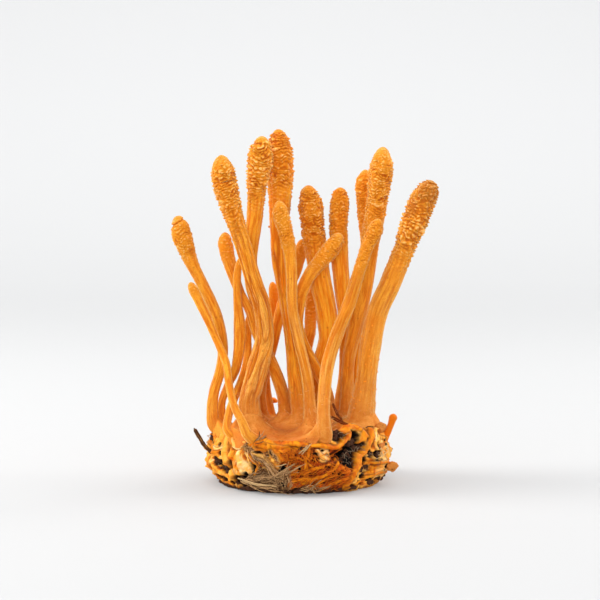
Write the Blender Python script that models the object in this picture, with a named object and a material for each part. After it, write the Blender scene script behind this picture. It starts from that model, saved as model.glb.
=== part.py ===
"""Cordyceps cluster: orange club fungi growing out of a matted cake that is cut flat below.

Frame: origin at the middle of the flat underside, +Z up, +X right and -Y towards the front.
Every club is a tube along a hand-set route with a knobbly head and a fluted or plain stem,
and its foot is trimmed to the top of the cake with a small clearance. Lengths are in mm.
"""

import math
import random

import bmesh
import bpy
from mathutils import Matrix, Vector, noise

MM = 0.001
CLEARANCE = 0.3

# The matted cake.
MAT_HALF_WIDTH = 21.4
MAT_HALF_DEPTH = 18.6
MAT_HEIGHT = 11.8
MAT_FOOT_SHARE = 0.80
MAT_RIM_DROP = 1.6
MAT_RIM_START = 0.86
MAT_TOP_REACH = 0.97
MAT_SEGMENTS = 36
MAT_RINGS = 18
UNDERSIDE_ENDS = 0.26
TOP_STARTS = 0.70
MAT_LUMP = 0.9
MAT_DISH = 0.9
COLLAR_HEIGHT = 1.5
COLLAR_REACH = 1.5

# Ways round the cake are angles from +X, in degrees, so the front is 270. Each hollow or ridge
# is (angle, height, half angle, half height, depth into the cake); a ridge has a negative depth.
HOLLOWS = [
    (300, 8.6, 8, 1.9, 1.9),
    (316, 5.6, 7, 2.2, 2.0),
    (338, 6.8, 8, 1.6, 1.6),
    (353, 8.2, 6, 1.5, 1.3),
    (246, 6.4, 7, 1.4, 1.3),
    (268, 4.6, 9, 1.4, 1.2),
    (217, 5.6, 8, 1.6, 1.7),
    (196, 7.0, 7, 1.5, 1.2),
    (160, 6.0, 9, 2.0, 1.4),
    (128, 7.2, 8, 1.7, 1.5),
    (96, 5.2, 9, 1.8, 1.5),
    (62, 6.6, 8, 2.0, 1.4),
    (30, 5.4, 8, 1.7, 1.3),
]
RIDGES = [
    (308, 7.4, 3.5, 4.6, -1.0),
    (326, 6.4, 3.5, 4.4, -1.1),
    (232, 7.0, 4.0, 3.6, -0.9),
    (256, 9.4, 12, 1.0, -0.8),
    (284, 9.6, 9, 1.0, -0.8),
    (206, 8.4, 4.0, 3.0, -0.7),
    (345, 3.6, 6, 1.6, -0.7),
    (180, 4.6, 5, 2.4, -0.8),
    (142, 8.0, 5, 3.0, -0.8),
    (110, 3.6, 6, 2.4, -0.8),
    (78, 8.2, 6, 2.6, -0.8),
    (44, 4.0, 5, 2.8, -0.8),
    (14, 6.2, 4, 3.4, -0.8),
]

# Routes run from foot to tip. A point is (x, y, z, width). The width at the last point is nothing:
# from the widest point of the head, just before it, the tip is rounded off by a formula.
ROUTES = {
    "club_main_left": [
        (-10.8, -4.0, 10.2, 6.4),
        (-11.2, -4.3, 16.0, 5.0),
        (-11.3, -4.5, 20.0, 4.6),
        (-9.5, -4.8, 26.8, 4.7),
        (-7.8, -5.0, 33.5, 4.2),
        (-8.4, -5.5, 40.7, 4.3),
        (-10.2, -6.0, 46.5, 4.2),
        (-12.5, -6.0, 54.4, 4.0),
        (-14.9, -5.5, 62.0, 4.5),
        (-16.7, -5.0, 69.2, 5.6),
        (-17.6, -5.0, 75.3, 0),
    ],
    "club_far_left": [
        (-19.0, -2.0, 8.8, 3.4),
        (-19.9, -2.0, 16.2, 2.6),
        (-19.5, -2.0, 21.0, 2.4),
        (-17.9, -1.5, 26.8, 2.4),
        (-17.6, -1.0, 31.8, 2.6),
        (-19.1, -1.0, 39.0, 2.8),
        (-21.9, -1.0, 45.4, 2.8),
        (-24.7, -1.5, 51.2, 3.2),
        (-26.6, -2.0, 56.6, 4.5),
        (-27.7, -2.0, 61.5, 0),
    ],
    "club_thin_left": [
        (-10.4, -14.9, 9.6, 3.0),
        (-12.4, -15.2, 15.6, 2.0),
        (-14.5, -14.0, 19.8, 1.8),
        (-15.6, -12.0, 24.0, 1.9),
        (-16.4, -10.5, 29.0, 1.9),
        (-19.1, -9.0, 35.2, 1.8),
        (-21.9, -8.0, 41.2, 2.1),
        (-23.6, -7.6, 44.6, 2.2),
        (-24.6, -7.5, 46.7, 0),
    ],
    "club_left_behind": [
        (-3.0, 6.8, 10.2, 3.8),
        (-3.4, 6.0, 16.2, 3.2),
        (-4.2, 4.6, 20.9, 3.2),
        (-6.9, 1.4, 28.5, 2.9),
        (-9.9, -0.9, 34.8, 2.1),
        (-11.5, -0.2, 40.0, 2.0),
        (-13.6, 1.4, 43.6, 2.1),
        (-15.7, 2.2, 49.3, 2.8),
        (-16.9, 2.4, 54.0, 3.4),
        (-17.1, 2.2, 57.6, 0),
    ],
    "club_slim_left": [
        (-17.2, 1.4, 9.6, 2.8),
        (-18.0, 1.2, 17.1, 1.9),
        (-16.6, 0.4, 21.9, 2.0),
        (-14.5, -0.6, 26.8, 2.2),
        (-13.6, -1.6, 34.2, 2.7),
        (-14.0, -2.0, 42.0, 2.0),
        (-14.1, -2.0, 48.0, 1.8),
        (-13.3, -1.9, 52.3, 0),
    ],
    "club_short_left": [
        (-15.4, -11.0, 8.2, 2.4),
        (-16.3, -10.4, 13.1, 1.8),
        (-16.0, -6.5, 16.4, 1.8),
        (-15.0, -3.3, 19.4, 1.8),
        (-13.2, 0.5, 23.5, 1.9),
        (-12.0, 1.6, 28.0, 1.9),
        (-11.8, 2.0, 34.0, 1.7),
        (-12.0, 2.0, 38.2, 0),
    ],
    "club_tall_left": [
        (-11.1, 6.4, 10.2, 4.2),
        (-10.8, 5.6, 21.7, 3.2),
        (-9.3, 4.7, 27.2, 3.0),
        (-8.5, 3.5, 32.5, 3.0),
        (-9.0, 2.7, 38.4, 3.0),
        (-10.7, 1.9, 45.0, 3.2),
        (-11.3, 1.0, 50.8, 3.4),
        (-10.3, 0.2, 60.0, 3.8),
        (-9.7, -0.5, 67.1, 4.2),
        (-8.9, -1.0, 74.2, 5.5),
        (-8.3, -1.0, 79.6, 0),
    ],
    "club_tall_middle": [
        (0.6, 2.5, 10.0, 5.4),
        (0.2, 2.5, 15.7, 4.0),
        (-0.7, 2.6, 21.4, 3.7),
        (-1.8, 2.8, 32.6, 3.0),
        (-3.1, 3.0, 41.4, 3.2),
        (-4.4, 3.2, 52.3, 4.0),
        (-4.6, 3.6, 61.5, 4.6),
        (-4.3, 4.0, 69.6, 5.6),
        (-4.4, 4.2, 75.4, 6.0),
        (-4.8, 4.2, 81.3, 0),
    ],
    "club_front_middle": [
        (3.2, -5.0, 10.0, 4.4),
        (2.6, -5.0, 17.8, 3.1),
        (1.7, -4.9, 25.6, 2.7),
        (-0.2, -4.8, 33.8, 2.6),
        (-1.5, -4.5, 40.6, 2.7),
        (-1.8, -4.0, 49.7, 2.7),
        (-2.6, -3.6, 56.1, 3.2),
        (-3.9, -3.4, 61.2, 3.6),
        (-4.6, -3.3, 65.0, 0),
    ],
    "club_leaning_middle": [
        (-7.4, 9.5, 9.6, 3.0),
        (-8.8, 9.0, 16.2, 2.4),
        (-8.6, 8.4, 21.8, 2.4),
        (-6.6, 7.2, 29.3, 2.6),
        (-4.8, 6.6, 36.9, 2.6),
        (-3.3, 6.5, 42.8, 2.5),
        (-0.9, 6.8, 48.1, 2.6),
        (0.3, 7.0, 52.6, 2.8),
        (0.8, 7.0, 55.8, 0),
    ],
    "club_low_middle": [
        (-6.0, 14.2, 9.6, 2.6),
        (-7.8, 12.0, 20.8, 2.0),
        (-7.4, 11.0, 29.3, 2.0),
        (-5.9, 10.0, 37.0, 2.2),
        (-6.0, 10.0, 42.8, 2.3),
        (-6.3, 10.0, 45.6, 0),
    ],
    "club_broad_middle": [
        (4.0, 9.8, 10.0, 4.6),
        (4.1, 8.6, 18.9, 3.8),
        (4.9, 7.0, 26.0, 3.8),
        (6.7, 5.4, 32.8, 4.3),
        (6.3, 4.4, 38.9, 4.7),
        (4.9, 3.8, 46.7, 4.8),
        (3.7, 3.6, 54.6, 5.0),
        (2.8, 3.6, 62.4, 5.8),
        (2.0, 3.6, 68.4, 0),
    ],
    "club_bent_middle": [
        (7.4, 6.2, 10.0, 3.2),
        (6.8, 5.0, 19.1, 2.6),
        (4.2, 1.9, 25.7, 2.5),
        (1.2, -0.4, 31.7, 2.5),
        (-0.2, -0.7, 36.4, 2.5),
        (0.0, -0.6, 40.8, 2.7),
        (1.1, -1.0, 45.4, 3.0),
        (3.2, -1.7, 49.1, 3.4),
        (7.1, -2.5, 53.8, 4.0),
        (9.7, -2.8, 57.4, 0),
    ],
    "club_low_behind": [
        (0.6, 14.4, 9.8, 3.4),
        (1.8, 11.0, 28.1, 2.4),
        (2.6, 9.6, 34.0, 2.7),
        (3.0, 8.8, 41.0, 2.9),
        (3.9, 8.6, 45.4, 0),
    ],
    "club_right_middle": [
        (8.8, 14.0, 9.4, 3.2),
        (10.5, 13.0, 20.7, 2.6),
        (10.9, 9.5, 29.0, 2.8),
        (10.8, 8.0, 36.3, 3.3),
        (10.2, 6.6, 43.2, 3.8),
        (9.5, 5.6, 51.0, 4.0),
        (9.2, 5.0, 58.0, 4.2),
        (9.4, 5.0, 63.6, 4.3),
        (9.6, 5.0, 67.9, 0),
    ],
    "club_right_behind": [
        (12.9, 12.2, 9.4, 3.0),
        (13.7, 12.3, 25.6, 2.6),
        (13.9, 9.8, 35.4, 2.6),
        (15.0, 8.6, 44.9, 2.7),
        (15.9, 8.0, 54.4, 2.9),
        (15.3, 7.6, 62.1, 3.4),
        (15.0, 7.4, 67.9, 3.7),
        (15.6, 7.4, 72.0, 0),
    ],
    "club_right_tall": [
        (11.0, 8.4, 9.6, 4.2),
        (11.2, 8.3, 19.4, 3.3),
        (11.7, 6.2, 28.0, 3.2),
        (13.4, 3.4, 36.7, 3.6),
        (15.1, 2.4, 45.2, 3.9),
        (16.3, 2.0, 54.7, 4.1),
        (17.7, 1.6, 63.2, 4.6),
        (18.8, 1.3, 71.0, 5.5),
        (19.3, 1.2, 77.2, 0),
    ],
    "club_front_right": [
        (5.8, -15.0, 9.2, 4.8),
        (5.5, -15.5, 16.9, 3.2),
        (5.7, -13.2, 23.0, 2.9),
        (6.6, -10.5, 29.2, 3.0),
        (8.5, -8.3, 34.9, 2.9),
        (11.3, -6.6, 41.7, 2.9),
        (13.6, -5.2, 48.9, 2.8),
        (15.4, -4.4, 54.3, 3.0),
        (17.1, -4.0, 57.9, 3.6),
        (18.2, -4.0, 60.9, 0),
    ],
    "club_far_right": [
        (13.4, 0.6, 10.0, 7.6),
        (14.6, 0.0, 17.0, 6.0),
        (15.5, -0.6, 23.6, 4.7),
        (16.4, -1.4, 31.6, 4.7),
        (18.0, -2.0, 39.7, 4.7),
        (20.6, -2.4, 45.7, 4.8),
        (23.5, -2.8, 52.8, 4.8),
        (25.9, -3.0, 59.2, 5.7),
        (28.0, -3.2, 64.4, 6.1),
        (30.3, -3.2, 69.5, 0),
    ],
    "stub_right": [
        (19.2, -2.0, 9.4, 2.2),
        (20.9, -2.0, 12.9, 1.5),
        (21.6, -2.0, 15.0, 1.9),
        (21.9, -2.0, 16.0, 0),
    ],
    "stub_back": [
        (-9.4, 13.4, 9.4, 2.0),
        (-9.2, 16.0, 14.0, 1.6),
        (-8.0, 17.6, 16.1, 1.5),
        (-6.4, 18.2, 16.3, 1.4),
        (-5.2, 18.2, 15.9, 0),
    ],
}

# Lengths of route between rings on the stem and on the head, by size of club.
STEM_STEP = {"thick": 4.8, "thin": 5.2}
HEAD_STEP = {"thick": 1.3, "thin": 1.4}
THICK_CLUB = 4.4
PLAIN_CLUB = 2.7
HEAD_SHARE = 0.24
TIP_SQUARENESS = 2.6
TIP_RINGS = 5
TIP_FLAT = 0.16

# Relief of the heads: how far knobs stand out and pits go in, as a share of the width there.
KNOB = 0.05
FLUTE = 0.055
FLUTED = {"club_main_left": (24.0, 60.0), "club_tall_middle": (14.0, 50.0)}

# Straws and a twig on the cake: points (x, y, z) and a width.
STICKS = {
    "straw_upper": ([(7.8, 2.2, 18.0), (8.8, 0.2, 15.8), (9.9, -2.2, 14.6)], 0.7),
    "straw_lower": ([(7.4, 1.4, 14.9), (9.6, -1.9, 14.1), (12.2, -5.0, 13.4)], 0.8),
    "twig_left": ([(-24.2, -1.6, 12.6), (-23.2, -1.8, 10.4), (-21.8, -2.4, 8.2), (-19.5, -2.5, 6.8)], 0.8),
}

# Brown lumps of the growing medium on the right side: middle and size along x, y and z.
LUMPS = {
    "knob_right": ((21.2, -5.6, 4.4), (2.6, 2.2, 2.4)),
    "lobe_right": ((18.6, -3.6, 13.2), (2.4, 1.8, 2.2)),
}

COLOURS = {
    "club": (0.80, 0.30, 0.06, 1),
    "stub": (0.62, 0.14, 0.03, 1),
    "mat": (0.66, 0.27, 0.06, 1),
    "straw": (0.16, 0.07, 0.03, 1),
    "lump": (0.24, 0.11, 0.05, 1),
}


def clear_scene():
    for thing in list(bpy.data.objects):
        bpy.data.objects.remove(thing, do_unlink=True)


def new_collection(name):
    collection = bpy.data.collections.new(name)
    bpy.context.scene.collection.children.link(collection)
    return collection


def finish(name, colour, roughness=0.75):
    material = bpy.data.materials.new(name)
    material.use_nodes = True
    shader = material.node_tree.nodes["Principled BSDF"]
    shader.inputs["Base Color"].default_value = colour
    shader.inputs["Roughness"].default_value = roughness
    shader.inputs["Metallic"].default_value = 0.0
    return material


def add_object(name, mesh, collection, colour):
    thing = bpy.data.objects.new(name, mesh)
    collection.objects.link(thing)
    mesh.materials.clear()
    mesh.materials.append(finish(name, colour))
    return thing


def smooth_point(before, start, end, after, share):
    """A point between start and end on the smooth curve through all four."""
    first = (end - before) * 0.5
    last = (after - start) * 0.5
    a = 2 * start - 2 * end + first + last
    b = -3 * start + 3 * end - 2 * first - last
    return ((a * share + b) * share + first) * share + start


def smooth_route(points, steps=24):
    """Fine points (x, y, z, width) along the smooth curve through the route's own points."""
    rows = [Vector(p) for p in points]
    rows = [2 * rows[0] - rows[1]] + rows + [2 * rows[-1] - rows[-2]]
    fine = []
    for i in range(1, len(rows) - 2):
        for k in range(steps):
            fine.append(smooth_point(*rows[i - 1:i + 3], k / steps))
    fine.append(rows[-2])
    return fine


def lengths_along(fine):
    along = [0.0]
    for a, b in zip(fine, fine[1:]):
        along.append(along[-1] + (b.xyz - a.xyz).length)
    return along


def at_length(fine, along, length):
    """The route's point and width at a length from its foot."""
    for i in range(1, len(fine)):
        if along[i] >= length:
            share = (length - along[i - 1]) / max(along[i] - along[i - 1], 1e-9)
            return fine[i - 1].lerp(fine[i], share)
    return fine[-1].copy()


def ring_places(points):
    """Rings (point, radius, share of head) from foot to tip, closer together on the head."""
    widest = points[-2][3]
    size = "thick" if widest > THICK_CLUB else "thin"
    body = [tuple(p) for p in points[:-1]] + [points[-1][:3] + (widest,)]
    fine = smooth_route(body)
    along = lengths_along(fine)
    total = along[-1]
    shoulder = along[(len(points) - 2) * 24]
    head = total * (1 - HEAD_SHARE)
    stops = []
    length = 0.0
    while length < shoulder - 0.4:
        stops.append(length)
        length += STEM_STEP[size] if length < head - STEM_STEP[size] else HEAD_STEP[size]
    for k in range(TIP_RINGS + 1):
        stops.append(shoulder + (total - shoulder) * math.sin(math.pi / 2 * k / (TIP_RINGS + 0.3)))
    rings = []
    for length in stops:
        place = at_length(fine, along, length)
        radius = place[3] / 2
        if length > shoulder:
            share = (length - shoulder) / (total - shoulder)
            radius = widest / 2 * max(1 - share ** TIP_SQUARENESS, TIP_FLAT ** 2) ** 0.5
        rings.append((place.xyz, radius, max(0.0, min(1.0, (length - head) / (total - head) * 6))))
    return rings


def tube_mesh(name, rings, resolution, collection):
    """A closed mesh tube through the rings, from a curve with filled caps."""
    curve = bpy.data.curves.new(name + "_route", "CURVE")
    curve.dimensions = "3D"
    curve.bevel_depth = MM
    curve.bevel_resolution = resolution
    curve.use_fill_caps = True
    curve.twist_mode = "MINIMUM"
    spline = curve.splines.new("POLY")
    spline.points.add(len(rings) - 1)
    for point, (place, radius, _) in zip(spline.points, rings):
        point.co = (*(place * MM), 1)
        point.radius = radius
    guide = bpy.data.objects.new(name + "_route", curve)
    collection.objects.link(guide)
    bpy.context.view_layer.update()
    view = guide.evaluated_get(bpy.context.evaluated_depsgraph_get())
    mesh = bpy.data.meshes.new_from_object(view)
    bpy.data.objects.remove(guide, do_unlink=True)
    shape = bmesh.new()
    shape.from_mesh(mesh)
    bmesh.ops.remove_doubles(shape, verts=shape.verts, dist=0.00002)
    bmesh.ops.recalc_face_normals(shape, faces=shape.faces)
    shape.to_mesh(mesh)
    shape.free()
    mesh.name = name
    return mesh


def knobble(mesh, rings, flutes, seed):
    """Moves the points of the head in and out in turn, and the sides of a fluted stem."""
    draw = random.Random(seed)
    centres = [place * MM for place, _, _ in rings]
    for i, vertex in enumerate(mesh.vertices):
        ring = min(range(len(rings)), key=lambda k: (vertex.co - centres[k]).length_squared)
        place, radius, head = rings[ring]
        out = vertex.co - centres[ring]
        if ring == len(rings) - 1 or out.length < 1e-7:
            continue
        sign = 1 if (i + ring) % 2 else -1
        move = head * KNOB * 2 * radius * (sign * 0.8 + draw.uniform(-0.5, 0.5))
        if flutes and flutes[0] < place.z < flutes[1]:
            move += FLUTE * 2 * radius * (1 if i % 2 else -1)
        vertex.co += out.normalized() * move * MM


def largest_piece(shape):
    """Drops every loose bit but the one with most points."""
    left = set(shape.verts)
    pieces = []
    while left:
        start = left.pop()
        group = {start}
        stack = [start]
        while stack:
            for edge in stack.pop().link_edges:
                for other in edge.verts:
                    if other in left:
                        left.remove(other)
                        group.add(other)
                        stack.append(other)
        pieces.append(group)
    pieces.sort(key=len)
    for group in pieces[:-1]:
        bmesh.ops.delete(shape, geom=list(group), context="VERTS")


def trim(thing, cutter):
    """Takes the cutter's shape away from an object and keeps the result as its mesh."""
    cut = thing.modifiers.new("Trim", "BOOLEAN")
    cut.operation = "DIFFERENCE"
    cut.solver = "EXACT"
    cut.object = cutter
    bpy.context.view_layer.update()
    view = thing.evaluated_get(bpy.context.evaluated_depsgraph_get())
    mesh = bpy.data.meshes.new_from_object(view)
    thing.modifiers.remove(cut)
    shape = bmesh.new()
    shape.from_mesh(mesh)
    largest_piece(shape)
    bmesh.ops.remove_doubles(shape, verts=shape.verts, dist=0.00003)
    bmesh.ops.dissolve_degenerate(shape, edges=shape.edges, dist=0.00002)
    bmesh.ops.triangulate(shape, faces=shape.faces)
    shape.to_mesh(mesh)
    shape.free()
    thing.data = mesh


def turn_between(a, b):
    """The smaller angle between two directions, in degrees."""
    return abs((a - b + 180) % 360 - 180)


def side_depth(angle, height):
    """How far hollows and ridges move the cake's side at an angle and a height."""
    depth = 0.0
    for at, middle, half_turn, half_height, most in HOLLOWS + RIDGES:
        across = turn_between(angle, at) / half_turn
        up = (height - middle) / half_height
        depth += most * math.exp(-across * across - up * up)
    return depth


def collar(x, y):
    """How far the cake's top rises towards the feet of the clubs."""
    rise = 0.0
    for points in ROUTES.values():
        foot = Vector(points[0][:2])
        gap = (Vector((x, y)) - foot).length - points[0][3] / 2
        if gap < 3 * COLLAR_REACH:
            size = min(1.0, points[0][3] / 4)
            rise = max(rise, size * COLLAR_HEIGHT * math.exp(-max(gap, 0) / COLLAR_REACH))
    return rise


def mat_point(angle, share):
    """A point on the cake. share runs from 0 at the middle below to 1 at the middle of the top.

    The side bulges along part of a sine, from the foot to its widest and back in to the rim.
    """
    turn = math.radians(angle)
    half = Vector((MAT_HALF_WIDTH * math.cos(turn), MAT_HALF_DEPTH * math.sin(turn)))
    if share < UNDERSIDE_ENDS:
        reach = MAT_FOOT_SHARE * share / UNDERSIDE_ENDS
        return Vector((half.x * reach, half.y * reach, 0))
    if share < TOP_STARTS:
        climb = (share - UNDERSIDE_ENDS) / (TOP_STARTS - UNDERSIDE_ENDS)
        height = (MAT_HEIGHT - MAT_RIM_DROP) * climb
        bulge = math.sin(0.33 + 1.93 * climb)
        reach = MAT_FOOT_SHARE + (1.0 - MAT_FOOT_SHARE) * bulge
        lump = noise.noise(Vector((half.x, half.y, height)) * 0.30) * MAT_LUMP
        lump += noise.noise(Vector((half.x, half.y, height)) * 0.75) * MAT_LUMP * 0.5
        inward = (side_depth(angle, height) - lump) * min(1.0, climb * 5)
        radius = half.length * reach - inward
        flat = half.normalized() * radius
        return Vector((flat.x, flat.y, height))
    reach = MAT_TOP_REACH * ((1 - share) / (1 - TOP_STARTS)) ** 0.8
    x = half.x * reach
    y = half.y * reach
    edge = max(0.0, reach - MAT_RIM_START) / (1 - MAT_RIM_START)
    height = MAT_HEIGHT - MAT_DISH * (1 - reach) - 0.8 * MAT_RIM_DROP * edge
    height += noise.noise(Vector((x, y, 0)) * 0.28) * 0.5 + collar(x, y)
    return Vector((x, y, height))


def build_mat(parts):
    """The cake: a sphere whose points are sent to the cake's own profile."""
    shape = bmesh.new()
    bmesh.ops.create_uvsphere(shape, u_segments=MAT_SEGMENTS, v_segments=MAT_RINGS, radius=1.0)
    for vertex in shape.verts:
        angle = math.degrees(math.atan2(vertex.co.y, vertex.co.x)) % 360
        share = math.acos(max(-1.0, min(1.0, -vertex.co.z))) / math.pi
        vertex.co = mat_point(angle, share) * MM
    bmesh.ops.recalc_face_normals(shape, faces=shape.faces)
    bmesh.ops.triangulate(shape, faces=shape.faces)
    mesh = bpy.data.meshes.new("mat")
    shape.to_mesh(mesh)
    shape.free()
    return add_object("mat", mesh, parts, COLOURS["mat"])


def build_cutter(mat, cutters):
    """The cake's shape grown by the clearance, which trims what stands on it."""
    mesh = mat.data.copy()
    mesh.name = "mat_with_clearance"
    grown = [vertex.co + vertex.normal * CLEARANCE * MM for vertex in mesh.vertices]
    for vertex, place in zip(mesh.vertices, grown):
        vertex.co = place
    cutter = bpy.data.objects.new("mat_with_clearance", mesh)
    cutters.objects.link(cutter)
    cutter.hide_render = True
    cutter.display_type = "WIRE"
    return cutter


def build_club(name, points, parts, cutter, seed):
    rings = ring_places(points)
    resolution = 3 if points[-2][3] > THICK_CLUB else 2
    if name.startswith("stub"):
        resolution = 1
    mesh = tube_mesh(name, rings, resolution, parts)
    if points[-2][3] > PLAIN_CLUB:
        knobble(mesh, rings, FLUTED.get(name), seed)
    colour = COLOURS["stub" if name.startswith("stub") else "club"]
    club = add_object(name, mesh, parts, colour)
    trim(club, cutter)
    return club


def build_stick(name, points, width, parts, cutter):
    fine = smooth_route([p + (width,) for p in points], 3)
    rings = [(place.xyz, place[3] / 2, 0) for place in fine]
    stick = add_object(name, tube_mesh(name, rings, 1, parts), parts, COLOURS["straw"])
    trim(stick, cutter)
    return stick


def build_lump(name, middle, size, parts, cutter):
    shape = bmesh.new()
    bmesh.ops.create_icosphere(shape, subdivisions=2, radius=0.5)
    for vertex in shape.verts:
        vertex.co *= 1 + 0.35 * noise.noise(vertex.co * 4 + Vector(middle))
    bmesh.ops.transform(shape, matrix=Matrix.Diagonal((*size, 1)), verts=shape.verts)
    bmesh.ops.translate(shape, vec=Vector(middle), verts=shape.verts)
    bmesh.ops.scale(shape, vec=(MM, MM, MM), verts=shape.verts)
    mesh = bpy.data.meshes.new(name)
    shape.to_mesh(mesh)
    shape.free()
    lump = add_object(name, mesh, parts, COLOURS["lump"])
    trim(lump, cutter)
    return lump


def main():
    clear_scene()
    parts = new_collection("cordyceps_cluster")
    cutters = new_collection("cutters")
    mat = build_mat(parts)
    cutter = build_cutter(mat, cutters)
    for seed, (name, points) in enumerate(ROUTES.items()):
        build_club(name, points, parts, cutter, seed)
    for name, (points, width) in STICKS.items():
        build_stick(name, points, width, parts, cutter)
    for name, (middle, size) in LUMPS.items():
        build_lump(name, middle, size, parts, cutter)
    for thing in parts.objects:
        thing.data.shade_smooth()
        thing.data.set_sharp_from_angle(angle=math.radians(50))
        print(thing.name, len(thing.data.polygons), "faces")


main()
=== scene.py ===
# %% [markdown]
# # A cordyceps cluster
# The real thing is a bunch of orange club fungi that grew out of a matted cake of straw and grain.
# The frame gives each club and the cake at its real size. This script dresses them: dense meshes
# with knobs, wrinkles, grooves and pits, fine fibres on the cake, and materials made of nodes.
# Lengths are worked out in millimetres, and turned into metres when a mesh is made.

# %% Load the frame
import math

import bpy
import numpy as np
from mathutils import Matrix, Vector, noise


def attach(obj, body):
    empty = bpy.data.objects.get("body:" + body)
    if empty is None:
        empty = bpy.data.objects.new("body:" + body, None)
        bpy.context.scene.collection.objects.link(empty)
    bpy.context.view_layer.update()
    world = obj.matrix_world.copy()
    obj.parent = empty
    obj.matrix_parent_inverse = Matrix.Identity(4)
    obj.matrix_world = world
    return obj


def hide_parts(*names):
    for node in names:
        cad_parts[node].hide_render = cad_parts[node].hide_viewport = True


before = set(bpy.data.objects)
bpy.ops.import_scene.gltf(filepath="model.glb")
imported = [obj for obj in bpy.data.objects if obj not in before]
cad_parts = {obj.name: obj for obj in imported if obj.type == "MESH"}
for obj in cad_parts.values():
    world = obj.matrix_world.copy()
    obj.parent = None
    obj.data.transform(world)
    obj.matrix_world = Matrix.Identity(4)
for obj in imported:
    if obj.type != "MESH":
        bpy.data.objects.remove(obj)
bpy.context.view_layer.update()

MM = 0.001
BODY = "root"
print("nodes in the frame:", len(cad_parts))

# %% [markdown]
# ## Camera
# The cluster was photographed from the front, a little above the cake, with a long lens. A long
# lens keeps the clubs at the back as large as those in front, so the camera stands well away. The
# distance and the lens together give 138 mm of height across the square picture.

# %% Camera
LOOK_AT = Vector((0.23, 0.0, 42.1))
CAMERA_DISTANCE = 380.0
CAMERA_RISE = math.radians(4.6)
PICTURE_SIDE = 138.0
SENSOR = 36.0


def make_camera():
    data = bpy.data.cameras.new("camera")
    data.sensor_width = SENSOR
    data.lens = SENSOR * CAMERA_DISTANCE / PICTURE_SIDE
    data.clip_start = 0.01
    camera = bpy.data.objects.new("camera", data)
    back = Vector((0, -math.cos(CAMERA_RISE), math.sin(CAMERA_RISE))) * CAMERA_DISTANCE
    camera.location = (LOOK_AT + back) * MM
    camera.rotation_euler = (math.pi / 2 - CAMERA_RISE, 0, 0)
    bpy.context.scene.collection.objects.link(camera)
    bpy.context.scene.camera = camera
    return camera


camera = make_camera()
print("lens", round(camera.data.lens, 1), "mm at", CAMERA_DISTANCE, "mm")

# %% [markdown]
# ## Floor and light
# The studio is white: a floor that curves up into a wall, a bright even sky, two large soft lights
# at the sides that give every club two pale edges, one above, and one beside the camera that
# reaches the clubs at the back. A sweep is used rather than a plane, so that no horizon line shows
# behind the clubs. It glows faintly, more on the wall than on the floor, which keeps the shadows
# pale and the wall as white as the floor.

# %% Studio sweep
SWEEP_WIDTH = 10.0
SWEEP_FRONT = -5.0
SWEEP_BACK = 1.2
SWEEP_BEND = 0.7
SWEEP_TOP = 2.6
BEND_STEPS = 12
WHITE = (0.398, 0.407, 0.419, 1)
FLOOR_GLOW = 0.16
WALL_GLOW = 0.40
GLOW_START = 0.27
GLOW_FULL = 0.95


def make_sweep():
    line = [(SWEEP_FRONT, 0.0), (SWEEP_BACK - SWEEP_BEND, 0.0)]
    for k in range(1, BEND_STEPS + 1):
        turn = math.pi / 2 * k / BEND_STEPS
        back = SWEEP_BACK - SWEEP_BEND * (1 - math.sin(turn))
        line.append((back, SWEEP_BEND * (1 - math.cos(turn))))
    line.append((SWEEP_BACK, SWEEP_TOP))
    verts = [(side * SWEEP_WIDTH / 2, y, z) for y, z in line for side in (-1, 1)]
    faces = [(2 * i, 2 * i + 1, 2 * i + 3, 2 * i + 2) for i in range(len(line) - 1)]
    mesh = bpy.data.meshes.new("studio_sweep")
    mesh.from_pydata(verts, [], faces)
    mesh.shade_smooth()
    sweep = bpy.data.objects.new("studio_sweep", mesh)
    bpy.context.scene.collection.objects.link(sweep)
    material = bpy.data.materials.new("studio_white")
    material.use_nodes = True
    tree = material.node_tree
    shader = tree.nodes["Principled BSDF"]
    shader.inputs["Base Color"].default_value = WHITE
    shader.inputs["Roughness"].default_value = 0.9
    shader.inputs["Specular IOR Level"].default_value = 0.1
    shader.inputs["Emission Color"].default_value = (1.0, 1.0, 1.0, 1)
    place = tree.nodes.new("ShaderNodeNewGeometry")
    parts = tree.nodes.new("ShaderNodeSeparateXYZ")
    glow = tree.nodes.new("ShaderNodeMapRange")
    glow.interpolation_type = "SMOOTHSTEP"
    glow.inputs["From Min"].default_value = GLOW_START
    glow.inputs["From Max"].default_value = GLOW_FULL
    glow.inputs["To Min"].default_value = FLOOR_GLOW
    glow.inputs["To Max"].default_value = WALL_GLOW
    tree.links.new(place.outputs["Position"], parts.inputs[0])
    tree.links.new(parts.outputs["Y"], glow.inputs["Value"])
    tree.links.new(glow.outputs["Result"], shader.inputs["Emission Strength"])
    mesh.materials.append(material)
    return sweep


sweep = make_sweep()
print("sweep faces:", len(sweep.data.polygons))

# %% Lights
SKY_STRENGTH = 0.875
SKY_COLOUR = (1.0, 0.995, 0.985, 1)
AIM = (0.0, 0.0, 0.045)
SIDE_COLOUR = (1.0, 0.97, 0.93)
TOP_COLOUR = (1.0, 0.98, 0.95)
# name, place, size, power, colour
LIGHTS = [
    ("side_left", (-0.56, 0.04, 0.50), (0.36, 0.40), 4.4, SIDE_COLOUR),
    ("side_right", (0.52, 0.16, 0.54), (0.5, 0.5), 3.4, SIDE_COLOUR),
    ("overhead", (-0.05, 0.10, 0.85), (0.4, 0.4), 1.8, TOP_COLOUR),
    ("front_fill", (-0.10, -1.05, 0.16), (0.3, 0.2), 4.0, TOP_COLOUR),
]


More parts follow.
